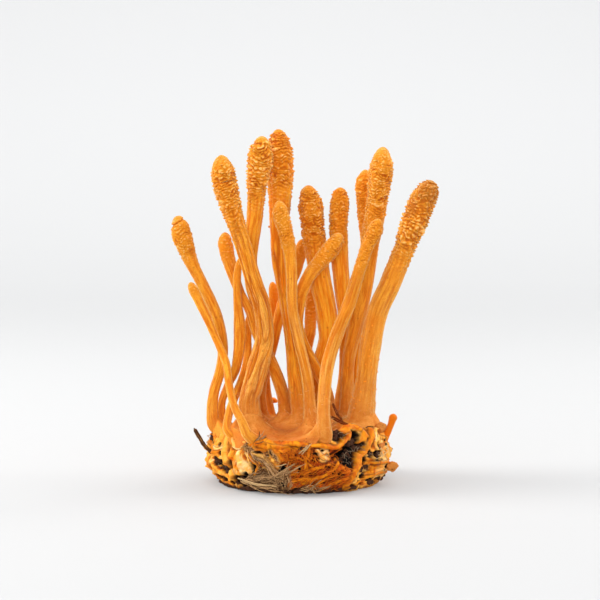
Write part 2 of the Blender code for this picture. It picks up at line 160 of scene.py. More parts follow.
def make_area(name, place, size, power, colour):
    data = bpy.data.lights.new(name, "AREA")
    data.shape = "RECTANGLE"
    data.size, data.size_y = size
    data.energy = power
    data.color = colour
    light = bpy.data.objects.new(name, data)
    light.location = place
    light.rotation_euler = (Vector(AIM) - Vector(place)).to_track_quat("-Z", "Y").to_euler()
    bpy.context.scene.collection.objects.link(light)
    return light


def make_sky():
    world = bpy.data.worlds.new("studio_sky")
    world.use_nodes = True
    sky = world.node_tree.nodes["Background"]
    sky.inputs["Color"].default_value = SKY_COLOUR
    sky.inputs["Strength"].default_value = SKY_STRENGTH
    bpy.context.scene.world = world


make_sky()
for light in LIGHTS:
    make_area(*light)
bpy.context.scene.view_settings.view_transform = "Standard"
bpy.context.scene.view_settings.look = "None"

# %% [markdown]
# ## Noise by arrays
# A club has tens of thousands of points, so its relief is worked out for all of them at once with
# arrays. Two kinds of noise are enough. Soft noise blends random values between the corners of a
# grid, and cell noise gives the distance to the nearest and second nearest of scattered seeds.


# %% Array noise
def random_at(cells, seed):
    """A value from 0 to 1 for each row of whole numbers, always the same for the same row."""
    x, y, z = (cells[:, k].astype(np.int64) for k in range(3))
    n = (x * 73856093) ^ (y * 19349663) ^ (z * 83492791) ^ (seed * 2654435761 % 1000003)
    n = (n ^ (n >> 13)) * 1274126177 & 0x7FFFFFFF
    n = (n ^ (n >> 16)) * 668265263 & 0x7FFFFFFF
    return ((n ^ (n >> 11)) & 0xFFFFF) / 0xFFFFF


def soft_noise(places, size, seed=0):
    """Smooth noise from -1 to 1 with lumps about as large as size, which may differ by axis."""
    p = places / np.asarray(size)
    base = np.floor(p)
    f = p - base
    f = f * f * (3 - 2 * f)
    total = np.zeros(len(p))
    for corner in range(8):
        step = np.array([corner & 1, corner >> 1 & 1, corner >> 2 & 1])
        weight = np.prod(np.where(step, f, 1 - f), axis=1)
        total += weight * random_at(base + step, seed)
    return total * 2 - 1


def layered_noise(places, size, seed=0, layers=3):
    """Soft noise with finer and weaker noise added to it."""
    total, weight = 0, 0
    for k in range(layers):
        total = total + soft_noise(places, np.asarray(size) / 2 ** k, seed + 7 * k) / 2 ** k
        weight += 1 / 2 ** k
    return total / weight


def ridge_noise(places, size, seed=0, layers=2):
    """Noise with sharp crests: 1 on a crest and 0 far from it."""
    total, weight = 0, 0
    for k in range(layers):
        crest = 1 - np.abs(soft_noise(places, np.asarray(size) / 2 ** k, seed + 5 * k)) * 1.6
        total = total + np.clip(crest, 0, 1) / 1.7 ** k
        weight += 1 / 1.7 ** k
    return total / weight


def cell_noise(places, size, seed=0):
    """Distance to the nearest and the second nearest seed, in cells, and the nearest cell's value."""
    p = places / np.asarray(size)
    base = np.floor(p)
    first = np.full(len(p), 9.0)
    second = np.full(len(p), 9.0)
    value = np.zeros(len(p))
    for k in range(27):
        cell = base + np.array([k % 3, k // 3 % 3, k // 9]) - 1
        seeds = np.stack([random_at(cell, seed + j) for j in (1, 2, 3)], axis=1)
        gap = np.linalg.norm(cell + 0.15 + 0.7 * seeds - p, axis=1)
        nearer = gap < first
        second = np.where(nearer, first, np.minimum(second, gap))
        value = np.where(nearer, random_at(cell, seed + 4), value)
        first = np.where(nearer, gap, first)
    return first, second, value


def ease(low, high, x):
    """0 below low, 1 above high, and smooth between."""
    t = np.clip((np.asarray(x, float) - low) / (high - low), 0, 1)
    return t * t * (3 - 2 * t)


print("soft noise at three places:", soft_noise(np.eye(3), 0.7).round(2))


# %% [markdown]
# ## Meshes from grids
# Every skin here is a grid of points that closes on itself one way round: round a club, round the
# cake, round a fibre. One helper turns such a grid into a closed mesh, with a point at each end,
# and stores named values on its points for the materials to read.


# %% Grid to mesh
def grid_faces(rows, columns, start=0):
    """Quads of a closed grid, and the triangles that shut both ends."""
    i = np.arange(rows - 1)[:, None] * columns
    j = np.arange(columns)[None, :]
    k = (j + 1) % columns
    quads = np.stack([i + j, i + k, i + columns + k, i + columns + j], axis=-1).reshape(-1, 4) + start
    ends = []
    low, high = start + rows * columns, start + rows * columns + 1
    j, k = j[0], k[0]
    last = start + (rows - 1) * columns
    ends.append(np.stack([k + start, j + start, np.full(columns, low)], axis=-1))
    ends.append(np.stack([last + j, last + k, np.full(columns, high)], axis=-1))
    return quads, np.concatenate(ends)


def make_mesh(name, points, quads, triangles, values):
    """A smooth mesh object from arrays in millimetres, with named values on its points."""
    mesh = bpy.data.meshes.new(name)
    corners = np.concatenate([quads.ravel(), triangles.ravel()]).astype(np.int32)
    starts = np.concatenate([np.arange(len(quads)) * 4, len(quads) * 4 + np.arange(len(triangles)) * 3])
    mesh.vertices.add(len(points))
    mesh.vertices.foreach_set("co", (points * MM).astype(np.float32).ravel())
    mesh.loops.add(len(corners))
    mesh.loops.foreach_set("vertex_index", corners)
    mesh.polygons.add(len(starts))
    mesh.polygons.foreach_set("loop_start", starts.astype(np.int32))
    mesh.update(calc_edges=True)
    for key, value in values.items():
        value = np.asarray(value, np.float32)
        if value.ndim == 2:
            mesh.attributes.new(key, "FLOAT_VECTOR", "POINT").data.foreach_set("vector", value.ravel())
        else:
            mesh.attributes.new(key, "FLOAT", "POINT").data.foreach_set("value", value)
    mesh.validate()
    mesh.shade_smooth()
    thing = bpy.data.objects.new(name, mesh)
    bpy.context.scene.collection.objects.link(thing)
    return thing


def close_grid(grid, low, high):
    """The grid's points in one list with the two end points after them."""
    rows, columns = grid.shape[:2]
    return np.concatenate([grid.reshape(rows * columns, -1), [low], [high]])


print("quads and triangles of 4 rows of 6:", [len(faces) for faces in grid_faces(4, 6)])


# %% [markdown]
# ## Routes of the clubs
# Each club follows the same route as its solid: points (x, y, z, width) from foot to tip.
# The width at the tip is nothing, because the head is rounded off from its widest point.

# %% Routes
ROUTES = {
    "club_main_left": [
        (-10.8, -4.0, 10.2, 6.4), (-11.2, -4.3, 16.0, 5.0), (-11.3, -4.5, 20.0, 4.6),
        (-9.5, -4.8, 26.8, 4.7), (-7.8, -5.0, 33.5, 4.2), (-8.4, -5.5, 40.7, 4.3),
        (-10.2, -6.0, 46.5, 4.2), (-12.5, -6.0, 54.4, 4.0), (-14.9, -5.5, 62.0, 4.5),
        (-16.7, -5.0, 69.2, 5.6), (-17.6, -5.0, 75.3, 0),
    ],
    "club_far_left": [
        (-19.0, -2.0, 8.8, 3.4), (-19.9, -2.0, 16.2, 2.6), (-19.5, -2.0, 21.0, 2.4),
        (-17.9, -1.5, 26.8, 2.4), (-17.6, -1.0, 31.8, 2.6), (-19.1, -1.0, 39.0, 2.8),
        (-21.9, -1.0, 45.4, 2.8), (-24.7, -1.5, 51.2, 3.2), (-26.6, -2.0, 56.6, 4.5),
        (-27.7, -2.0, 61.5, 0),
    ],
    "club_thin_left": [
        (-10.4, -14.9, 9.6, 3.0), (-12.4, -15.2, 15.6, 2.0), (-14.5, -14.0, 19.8, 1.8),
        (-15.6, -12.0, 24.0, 1.9), (-16.4, -10.5, 29.0, 1.9), (-19.1, -9.0, 35.2, 1.8),
        (-21.9, -8.0, 41.2, 2.1), (-23.6, -7.6, 44.6, 2.2), (-24.6, -7.5, 46.7, 0),
    ],
    "club_left_behind": [
        (-3.0, 6.8, 10.2, 3.8), (-3.4, 6.0, 16.2, 3.2), (-4.2, 4.6, 20.9, 3.2), (-6.9, 1.4, 28.5, 2.9),
        (-9.9, -0.9, 34.8, 2.1), (-11.5, -0.2, 40.0, 2.0), (-13.6, 1.4, 43.6, 2.1),
        (-15.7, 2.2, 49.3, 2.8), (-16.9, 2.4, 54.0, 3.4), (-17.1, 2.2, 57.6, 0),
    ],
    "club_slim_left": [
        (-17.2, 1.4, 9.6, 2.8), (-18.0, 1.2, 17.1, 1.9), (-16.6, 0.4, 21.9, 2.0),
        (-14.5, -0.6, 26.8, 2.2), (-13.6, -1.6, 34.2, 2.7), (-14.0, -2.0, 42.0, 2.0),
        (-14.1, -2.0, 48.0, 1.8), (-13.3, -1.9, 52.3, 0),
    ],
    "club_short_left": [
        (-15.4, -11.0, 8.2, 2.4), (-16.3, -10.4, 13.1, 1.8), (-16.0, -6.5, 16.4, 1.8),
        (-15.0, -3.3, 19.4, 1.8), (-13.2, 0.5, 23.5, 1.9), (-12.0, 1.6, 28.0, 1.9),
        (-11.8, 2.0, 34.0, 1.7), (-12.0, 2.0, 38.2, 0),
    ],
    "club_tall_left": [
        (-11.1, 6.4, 10.2, 4.2), (-10.8, 5.6, 21.7, 3.2), (-9.3, 4.7, 27.2, 3.0),
        (-8.5, 3.5, 32.5, 3.0), (-9.0, 2.7, 38.4, 3.0), (-10.7, 1.9, 45.0, 3.2),
        (-11.3, 1.0, 50.8, 3.4), (-10.3, 0.2, 60.0, 3.8), (-9.7, -0.5, 67.1, 4.2),
        (-8.9, -1.0, 74.2, 5.5), (-8.3, -1.0, 79.6, 0),
    ],
    "club_tall_middle": [
        (0.6, 2.5, 10.0, 5.4), (0.2, 2.5, 15.7, 4.0), (-0.7, 2.6, 21.4, 3.7), (-1.8, 2.8, 32.6, 3.0),
        (-3.1, 3.0, 41.4, 3.2), (-4.4, 3.2, 52.3, 4.0), (-4.6, 3.6, 61.5, 4.6), (-4.3, 4.0, 69.6, 5.6),
        (-4.4, 4.2, 75.4, 6.0), (-4.8, 4.2, 81.3, 0),
    ],
    "club_front_middle": [
        (3.2, -5.0, 10.0, 4.4), (2.6, -5.0, 17.8, 3.1), (1.7, -4.9, 25.6, 2.7), (-0.2, -4.8, 33.8, 2.6),
        (-1.5, -4.5, 40.6, 2.7), (-1.8, -4.0, 49.7, 2.7), (-2.6, -3.6, 56.1, 3.2),
        (-3.9, -3.4, 61.2, 3.6), (-4.6, -3.3, 65.0, 0),
    ],
    "club_leaning_middle": [
        (-7.4, 9.5, 9.6, 3.0), (-8.8, 9.0, 16.2, 2.4), (-8.6, 8.4, 21.8, 2.4), (-6.6, 7.2, 29.3, 2.6),
        (-4.8, 6.6, 36.9, 2.6), (-3.3, 6.5, 42.8, 2.5), (-0.9, 6.8, 48.1, 2.6), (0.3, 7.0, 52.6, 2.8),
        (0.8, 7.0, 55.8, 0),
    ],
    "club_low_middle": [
        (-6.0, 14.2, 9.6, 2.6), (-7.8, 12.0, 20.8, 2.0), (-7.4, 11.0, 29.3, 2.0),
        (-5.9, 10.0, 37.0, 2.2), (-6.0, 10.0, 42.8, 2.3), (-6.3, 10.0, 45.6, 0),
    ],
    "club_broad_middle": [
        (4.0, 9.8, 10.0, 4.6), (4.1, 8.6, 18.9, 3.8), (4.9, 7.0, 26.0, 3.8), (6.7, 5.4, 32.8, 4.3),
        (6.3, 4.4, 38.9, 4.7), (4.9, 3.8, 46.7, 4.8), (3.7, 3.6, 54.6, 5.0), (2.8, 3.6, 62.4, 5.8),
        (2.0, 3.6, 68.4, 0),
    ],
    "club_bent_middle": [
        (7.4, 6.2, 10.0, 3.2), (6.8, 5.0, 19.1, 2.6), (4.2, 1.9, 25.7, 2.5), (1.2, -0.4, 31.7, 2.5),
        (-0.2, -0.7, 36.4, 2.5), (0.0, -0.6, 40.8, 2.7), (1.1, -1.0, 45.4, 3.0), (3.2, -1.7, 49.1, 3.4),
        (7.1, -2.5, 53.8, 4.0), (9.7, -2.8, 57.4, 0),
    ],
    "club_low_behind": [
        (0.6, 14.4, 9.8, 3.4), (1.8, 11.0, 28.1, 2.4), (2.6, 9.6, 34.0, 2.7), (3.0, 8.8, 41.0, 2.9),
        (3.9, 8.6, 45.4, 0),
    ],
    "club_right_middle": [
        (8.8, 14.0, 9.4, 3.2), (10.5, 13.0, 20.7, 2.6), (10.9, 9.5, 29.0, 2.8), (10.8, 8.0, 36.3, 3.3),
        (10.2, 6.6, 43.2, 3.8), (9.5, 5.6, 51.0, 4.0), (9.2, 5.0, 58.0, 4.2), (9.4, 5.0, 63.6, 4.3),
        (9.6, 5.0, 67.9, 0),
    ],
    "club_right_behind": [
        (12.9, 12.2, 9.4, 3.0), (13.7, 12.3, 25.6, 2.6), (13.9, 9.8, 35.4, 2.6), (15.0, 8.6, 44.9, 2.7),
        (15.9, 8.0, 54.4, 2.9), (15.3, 7.6, 62.1, 3.4), (15.0, 7.4, 67.9, 3.7), (15.6, 7.4, 72.0, 0),
    ],
    "club_right_tall": [
        (11.0, 8.4, 9.6, 4.2), (11.2, 8.3, 19.4, 3.3), (11.7, 6.2, 28.0, 3.2), (13.4, 3.4, 36.7, 3.6),
        (15.1, 2.4, 45.2, 3.9), (16.3, 2.0, 54.7, 4.1), (17.7, 1.6, 63.2, 4.6), (18.8, 1.3, 71.0, 5.5),
        (19.3, 1.2, 77.2, 0),
    ],
    "club_front_right": [
        (5.8, -15.0, 9.2, 4.8), (5.5, -15.5, 16.9, 3.2), (5.7, -13.2, 23.0, 2.9),
        (6.6, -10.5, 29.2, 3.0), (8.5, -8.3, 34.9, 2.9), (11.3, -6.6, 41.7, 2.9),
        (13.6, -5.2, 48.9, 2.8), (15.4, -4.4, 54.3, 3.0), (17.1, -4.0, 57.9, 3.6),
        (18.2, -4.0, 60.9, 0),
    ],
    "club_far_right": [
        (13.4, 0.6, 10.0, 7.6), (14.6, 0.0, 17.0, 6.0), (15.5, -0.6, 23.6, 4.7),
        (16.4, -1.4, 31.6, 4.7), (18.0, -2.0, 39.7, 4.7), (20.6, -2.4, 45.7, 4.8),
        (23.5, -2.8, 52.8, 4.8), (25.9, -3.0, 59.2, 5.7), (28.0, -3.2, 64.4, 6.1),
        (30.3, -3.2, 69.5, 0),
    ],
    "stub_right": [
        (19.2, -2.0, 9.4, 2.2), (20.9, -2.0, 12.9, 1.5), (21.6, -2.0, 15.0, 1.9), (21.9, -2.0, 16.0, 0),
    ],
    "stub_back": [
        (-9.4, 13.4, 9.4, 2.0), (-9.2, 16.0, 14.0, 1.6), (-8.0, 17.6, 16.1, 1.5),
        (-6.4, 18.2, 16.3, 1.4), (-5.2, 18.2, 15.9, 0),
    ],
}
print("clubs and stubs:", len(ROUTES))


# %% [markdown]
# ## Following a route
# The route's points are joined by a smooth curve that passes through each of them. Along it, rings
# are placed closer together on the head than on the stem, because the head has the fine knobs.


# %% Smooth route
FINE_STEPS = 24


def smooth_route(points, steps=FINE_STEPS):
    """Fine points on the smooth curve through the route's own points."""
    rows = np.array(points, float)
    rows = np.concatenate([[2 * rows[0] - rows[1]], rows, [2 * rows[-1] - rows[-2]]])
    share = np.linspace(0, 1, steps, endpoint=False)[:, None]
    fine = []
    for before, start, end, after in zip(rows, rows[1:], rows[2:], rows[3:]):
        first = (end - before) / 2
        last = (after - start) / 2
        a = 2 * start - 2 * end + first + last
        b = -3 * start + 3 * end - 2 * first - last
        fine.append(((a * share + b) * share + first) * share + start)
    return np.concatenate(fine + [rows[-2:-1]])


def lengths_along(line):
    return np.concatenate([[0], np.cumsum(np.linalg.norm(np.diff(line[:, :3], axis=0), axis=1))])


def sample(line, along, stops):
    """The line's values at given lengths along it."""
    return np.stack([np.interp(stops, along, line[:, k]) for k in range(line.shape[1])], axis=1)


def frames_along(places):
    """Directions across a line and over it, turning as little as they can."""
    ahead = np.gradient(places, axis=0)
    ahead /= np.linalg.norm(ahead, axis=1)[:, None]
    across = np.zeros_like(ahead)
    side = np.cross(ahead[0], (0.0, 1.0, 0.02))
    across[0] = side / np.linalg.norm(side)
    for i in range(1, len(places)):
        side = across[i - 1] - ahead[i] * (across[i - 1] @ ahead[i])
        across[i] = side / np.linalg.norm(side)
    return across, np.cross(ahead, across)


print("fine points of the main club:", len(smooth_route(ROUTES["club_main_left"])))


# %% [markdown]
# ## Relief of a club
# Close up, a head is covered in small pointed knobs that run together into wavy rows, and the stem
# is finely fibrous with a few lengthwise grooves. Texture painted on a smooth tube would leave the
# outline smooth, so the knobs are real relief. They come from cell noise, and the rows from crested
# noise. Each club has its own settings, because the photographed ones differ: some heads are rough
# and some nearly smooth.

# %% Settings of each club
# knob: height of the knobs in mm. pitch: their spacing in mm. head: length in mm of the knobbly
# part. rows: how far the knobs stand in rows. wave: height of the broad folds in mm. groove: depth
# of the grooves on the stem in mm. flat: how much wider than long the knobs are. tip: 0.5 is a
# round tip, and more is pointed. bald: length in mm of the smoother tip. columns: points round.
# tone: below 0 is deeper. stem: painted light on the stem alone, above 0 paler to offset the shade
# on the stems at the back, below 0 deeper to offset the direct light on those in front. low: how
# pale the low stem is, partly painted light that offsets the shade there. powder: how powdery the
# foot is. stains and highlights: brown patches on the head, heavier in its pits as painted shade,
# and painted highlights on its knobs. cap: length in mm of a small lobe at the tip that a crease
# sets off, with painted shade in the crease.
PLAIN = dict(
    knob=0.16, pitch=0.62, head=8.0, rows=1.0, wave=0.08, groove=0.05, flat=1.15,
    tip=0.5, bald=0.8, columns=62, tone=0.0, stem=0.0, low=0.0, powder=0.75, stains_and_highlights=0.0,
    cap=0.0,
)
SETTINGS = {
    "club_main_left": dict(
        knob=0.60, head=23.0, wave=0.14, groove=0.40, tip=0.55, bald=2.8, columns=116, low=0.9,
    ),
    "club_far_left": dict(
        knob=0.34, pitch=0.52, head=14.0, wave=0.10, groove=0.08, tip=0.42, bald=1.9, cap=1.5,
        columns=88, powder=0.4,
    ),
    "club_thin_left": dict(knob=0.14, pitch=0.5, head=4.5, wave=0.05, powder=0.3),
    "club_left_behind": dict(knob=0.18, pitch=0.7, head=10.0, wave=0.12, tone=-0.1),
    "club_slim_left": dict(knob=0.03, head=5.0, powder=0.2),
    "club_short_left": dict(knob=0.03, head=4.0, powder=0.2),
    "club_tall_left": dict(knob=0.62, head=20.0, wave=0.24, flat=1.4, bald=1.3, columns=108, stem=0.4),
    "club_tall_middle": dict(
        knob=0.62, pitch=0.64, head=21.5, wave=0.28, groove=0.24, flat=1.5, tip=0.52, columns=112,
        tone=-0.15, stem=0.75,
    ),
    "club_front_middle": dict(
        knob=0.36, pitch=0.50, head=16.0, wave=0.06, groove=0.08, bald=1.6, columns=84, low=0.8,
    ),
    "club_leaning_middle": dict(knob=0.14, head=7.0, tone=-0.1, stem=0.4),
    "club_low_middle": dict(knob=0.08, head=6.0, tone=-0.2, stem=0.2),
    "club_broad_middle": dict(
        knob=0.60, head=20.5, wave=0.24, groove=0.08, bald=1.5, columns=112, tone=-0.1, stem=0.75,
    ),
    "club_bent_middle": dict(knob=0.36, pitch=0.50, head=13.0, groove=0.10, tip=0.47, columns=88),
    "club_low_behind": dict(knob=0.20, pitch=0.68, head=14.0, columns=60, tone=-0.2, stem=0.5),
    "club_right_middle": dict(
        knob=0.40, head=17.0, wave=0.24, tip=0.47, columns=86, tone=-0.1, stem=0.7,
    ),
    "club_right_behind": dict(
        knob=0.36, head=18.0, wave=0.20, bald=1.6, columns=76, tone=-0.1, stem=0.6,
    ),
    "club_right_tall": dict(
        knob=0.54, pitch=0.56, head=25.0, wave=0.14, groove=0.08, tip=0.52, bald=2.8, columns=108,
    ),
    "club_front_right": dict(
        knob=0.28, pitch=0.50, head=18.0, wave=0.06, groove=0.08, columns=86, stem=-0.8, low=0.6,
    ),
    "club_far_right": dict(
        knob=0.78, pitch=0.72, head=24.0, rows=0.9, wave=0.30, groove=0.06, bald=0.2, columns=116,
        tone=0.05, stem=-0.4, low=0.5, stains_and_highlights=1.0,
    ),
    "stub_right": dict(knob=0.04, columns=40, head=2.0, tone=-1.0),
    "stub_back": dict(knob=0.03, columns=32, head=2.0, tone=-0.9),
}
ROW_GAP = 1.2
ROW_CREST = 0.34
STEM_RING_GAP = 0.50
HEAD_RING_GAP = 0.18
GROOVES_START = 5.0
CREASE_WIDTH = 0.24
CREASE_DEPTH = 0.36
CREASE_TILT = 0.5
GROOVES_END = 54.0
FOOT_FLARE = 0.30
FLARE_LENGTH = 2.6
FOOT_TUCK = 0.20
print("own settings for", len(SETTINGS), "pieces")


# %% Rings along a club
def ring_stops(along, shoulder, head_start):
    """Lengths at which rings stand, with the gaps closing up towards the tip."""
    total = along[-1]
    stops = [0.0]
    while stops[-1] < shoulder:
        near = float(ease(head_start - 3, head_start + 4, stops[-1]))
        stops.append(stops[-1] + STEM_RING_GAP + (HEAD_RING_GAP - STEM_RING_GAP) * near)
    cap = total - shoulder
    rows = max(8, int(cap * 1.35 / HEAD_RING_GAP))
    turn = np.linspace(0, 1, rows)[1:]
    return np.concatenate([stops[:-1], [shoulder], shoulder + cap * np.sin(math.pi / 2 * turn * 0.995)])


def club_line(points):
    """The route's fine line with half the width along it, and its lengths and shoulder."""
    widest = points[-2][3]
    line = smooth_route([*points[:-1], (*points[-1][:3], widest)])
    along = lengths_along(line)
    shoulder = along[(len(points) - 2) * FINE_STEPS]
    line[:, 3] = np.where(along > shoulder, widest, line[:, 3]) / 2
    return line, along, shoulder


def foot_drawn(rings, stops):
    """Rings with a flared foot, drawn a little towards the middle of the cake."""
    rings[:, 3] *= 1 + FOOT_FLARE * np.exp(-stops / FLARE_LENGTH)
    rings[:, :2] *= 1 - FOOT_TUCK * ease(14.0, 9.5, rings[:, 2:3])
    return rings


print("lengths in mm:", [round(club_line(points)[1][-1]) for points in ROUTES.values()])


# %% Knobs, folds and grooves
def head_relief(skin, setting, seed):
    """Knobs in wavy rows, each row steep below, from 0 in the pits to 1 on the peaks, and folds."""
    warp = np.stack([soft_noise(skin, 1.1, seed + k) for k in (11, 12, 13)], axis=1)
    flat, pitch = setting["flat"], setting["pitch"]
    bend = 0.90 * soft_noise(skin, (1.5 * flat, 1.5 * flat, 2.6), seed + 20)
    bend += 0.50 * soft_noise(skin, 0.75, seed + 21)
    turn = (skin[:, 2] + bend) / (ROW_GAP * pitch)
    step = turn - np.floor(turn)
    row = np.where(step < ROW_CREST, step / ROW_CREST, (1 - step) / (1 - ROW_CREST))
    row = 1 - setting["rows"] * (1 - row * row * (3 - 2 * row)) * (0.85 + 0.15 * warp[:, 0])
    near, _, value = cell_noise(skin + warp * 0.35, (pitch * flat, pitch * flat, pitch), seed)
    knobs = np.clip(1 - near / 0.75, 0, 1) * (0.55 + 0.6 * value)
    both = row * (0.26 + knobs)
    low, high = np.percentile(both, (4, 98))
    folds = ridge_noise(skin + warp * 0.8, (2.6 * flat, 2.6 * flat, 1.6), seed + 24, 1)
    return np.clip((both - low) / (high - low), 0, 1), folds


def stem_relief(skin, seed):
    """Wavy lengthwise grooves: narrow lines, 1 in a groove and 0 between."""
    slow = soft_noise(skin * (0, 0, 1), 9.0, seed + 31)[:, None] * 0.7
    quick = soft_noise(skin, (1.8, 1.8, 6.0), seed + 34)[:, None] * 0.25
    moved = skin + (slow + quick) * np.array([[1.0, 1.0, 0]])
    broad = np.abs(soft_noise(moved, (0.80, 0.80, 20.0), seed + 32))
    fine = np.abs(soft_noise(moved, (0.45, 0.45, 11.0), seed + 33))
    return np.clip(np.clip(1 - broad / 0.24, 0, 1) + 0.55 * np.clip(1 - fine / 0.28, 0, 1), 0, 1)


# %% Surface of a club
def club_rings(name, points, setting):
    """Rings of a club, their lengths along it, its whole length and its usual half width."""
    line, along, shoulder = club_line(points)
    total = along[-1]
    stops = ring_stops(along, shoulder, total - setting["head"])
    rings = sample(line, along, stops)
    share = np.clip((stops - shoulder) / (total - shoulder), 0, 1)
    rings[:, 3] *= np.clip(1 - share ** 2, 0, 1) ** setting["tip"]
    if name.startswith("club"):
        rings = foot_drawn(rings, stops)
    return rings, stops, total, np.median(line[:, 3])


def club_relief(setting, total, where, around, skin, round_skin, seed):
    """Rise of the relief in mm at each point, and the values that the material reads."""
    knobs, waves = head_relief(round_skin, setting, seed)
    grooves = stem_relief(skin, seed)
    reach = setting["head"]
    head_start = total - reach
    on_head = ease(head_start, head_start + 0.5 * reach, where)
    sparse = ease(head_start - 0.3 * reach, head_start + 0.3 * reach, where) * (1 - on_head) * 0.30
    bald = 1 - 0.75 * ease(total - 1.6 * setting["bald"], total - 0.3 * setting["bald"], where)
    groove_zone = ease(GROOVES_START, GROOVES_START + 8, where)
    groove_zone = groove_zone * (1 - ease(GROOVES_END - 10, GROOVES_END + 4, where))
    stem = groove_zone if setting["groove"] > 0.2 else 1 - on_head
    rise = setting["knob"] * (knobs - 0.40) * (on_head + sparse) * bald
    rise += setting["wave"] * (waves - 0.55) * (on_head + 0.4 * sparse) * (0.4 + 0.6 * bald)
    rise -= setting["groove"] * grooves * stem
    above = where - total + setting["cap"] + CREASE_TILT * np.cos(around)
    shaded_crease = np.exp(-(above / CREASE_WIDTH) ** 2) if setting["cap"] else np.zeros(len(where))
    rise -= CREASE_DEPTH * shaded_crease
    rise += 0.05 * layered_noise(skin, (0.40, 0.40, 0.9), seed + 51, 2)
    # The relief value is low in the pits, the folds and the cap's crease and high on the knobs: the
    # material paints shade in its low places and highlights on its high ones.
    contrast = 0.4 + 1.2 * setting["knob"]
    on_knobs = 0.5 + (0.9 * knobs + 0.3 * waves - 0.6) * contrast
    shown = np.clip(on_head + sparse, 0, 1) * bald
    return rise, {
        "skin": skin,
        "relief": np.clip(on_knobs * shown + (1 - shown) * 0.6 - 0.35 * shaded_crease, 0, 1),
        "groove": grooves * stem * min(1.0, setting["groove"] / 0.25),
        "head": np.clip(on_head, 0, 1),
        "height": where,
    }


def club_surface(name, points, seed):
    """The club's grid of points in mm and the values that its material reads."""
    setting = {**PLAIN, **SETTINGS[name]}
    rings, stops, total, usual = club_rings(name, points, setting)
    across, over = frames_along(rings[:, :3])
    rows, columns = len(stops), setting["columns"]
    turn = np.linspace(0, 2 * math.pi, columns, endpoint=False)
    c, s = np.cos(turn)[None, :, None], np.sin(turn)[None, :, None]
    out = across[:, None, :] * c + over[:, None, :] * s
    width = np.repeat(rings[:, 3], columns)
    where = np.repeat(stops, columns)
    around = np.tile(turn, rows)
    start = np.array([seed * 37.0, seed * 11.0, 0])
    skin = np.stack([np.cos(around) * usual, np.sin(around) * usual, where], axis=1) + start
    round_skin = np.stack([np.cos(around) * width, np.sin(around) * width, where], axis=1) + start
    rise, values = club_relief(setting, total, where, around, skin, round_skin, seed)
    oval = 0.045 * np.sin(2 * around + where * 0.11 + seed)
    oval += 0.03 * np.sin(3 * around - where * 0.17 + seed * 2)
    oval += 0.05 * soft_noise(skin, 4.5, seed + 41)
    swell = 1 + oval * (1 - 0.5 * values["head"])
    radius = np.maximum(width * swell + rise * np.clip(width / 1.2, 0, 1), 0.02)
    return rings[:, None, :3] + out * radius.reshape(rows, columns, 1), values


def make_club(name, points, seed):
    grid, values = club_surface(name, points, seed)
    rows, columns = grid.shape[:2]
    verts = close_grid(grid, grid[0].mean(axis=0), grid[-1].mean(axis=0))
    quads, triangles = grid_faces(rows, columns)
    closed = {}
    for key, value in values.items():
        value = value.reshape(rows * columns, -1)
        value = np.concatenate([value, value[:1], value[-1:]])
        closed[key] = value if value.shape[1] == 3 else value[:, 0]
    thing = make_mesh(name + "_skin", verts, quads, triangles, closed)
    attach(thing, BODY)
    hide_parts(name)
    return thing


# %% Build the clubs
clubs = {name: make_club(name, points, seed) for seed, (name, points) in enumerate(ROUTES.items())}
print("club faces:", sum(len(club.data.polygons) for club in clubs.values()))

# %% [markdown]
# ## The matted cake
# The cake is a disc, 44 mm across and 12 mm thick, cut flat below. Its top is smooth and powdery and
# is drawn up round every foot. Its side is what makes it look real: membranes and cords of orange
# and cream run over dark pits, a frayed orange mass hangs in front, and straw shows between. The
# side is one skin whose relief is worked out from two numbers, the way round and the height, so
# that fibres can later be laid on exactly the same surface. A second skin is the powdery top.

# %% Sizes of the cake
MAT_HALF_WIDTH = 21.4
MAT_HALF_DEPTH = 18.6
MAT_HEIGHT = 11.8
MAT_FOOT_SHARE = 0.80
MAT_RIM_DROP = 1.6
MAT_RIM_START = 0.86
MAT_LUMP = 0.9
MAT_DISH = 0.9
SIDE_TOP = MAT_HEIGHT - MAT_RIM_DROP
COLLAR_HEIGHT = 4.6
COLLAR_REACH = 1.7
COLLAR_BITE = 0.25
COLLAR_LEVELS = 24
COLLAR_GROUND = 11.3
print("cake:", 2 * MAT_HALF_WIDTH, "by", 2 * MAT_HALF_DEPTH, "by", MAT_HEIGHT, "mm")

# Hollows and ridges of the solid: (angle, height, half angle, half height, depth). The angle is
# counted from +X, so the front is 270.
HOLLOWS = [
    (300, 8.6, 8, 1.9, 1.9), (316, 5.6, 7, 2.2, 2.0), (338, 6.8, 8, 1.6, 1.6), (353, 8.2, 6, 1.5, 1.3),
    (246, 6.4, 7, 1.4, 1.3), (268, 4.6, 9, 1.4, 1.2), (217, 5.6, 8, 1.6, 1.7), (196, 7.0, 7, 1.5, 1.2),
    (160, 6.0, 9, 2.0, 1.4), (128, 7.2, 8, 1.7, 1.5), (96, 5.2, 9, 1.8, 1.5), (62, 6.6, 8, 2.0, 1.4),
    (30, 5.4, 8, 1.7, 1.3),
]
RIDGES = [
    (308, 7.4, 3.5, 4.6, -1.0), (326, 6.4, 3.5, 4.4, -1.1), (232, 7.0, 4.0, 3.6, -0.9),
    (256, 9.4, 12, 1.0, -0.8), (284, 9.6, 9, 1.0, -0.8), (206, 8.4, 4.0, 3.0, -0.7),
    (345, 3.6, 6, 1.6, -0.7), (180, 4.6, 5, 2.4, -0.8), (142, 8.0, 5, 3.0, -0.8),
    (110, 3.6, 6, 2.4, -0.8), (78, 8.2, 6, 2.6, -0.8), (44, 4.0, 5, 2.8, -0.8), (14, 6.2, 4, 3.4, -0.8),
]

# %% [markdown]
# ## Cords, pits and patches
# These tables hold what can be told apart on the photographed side, as places (angle, height). A
# cord is a route with half its width and its rise. A pit or patch is a middle with half its width
# in degrees and half its height. The hidden sides get cords and pits of the same kinds below.

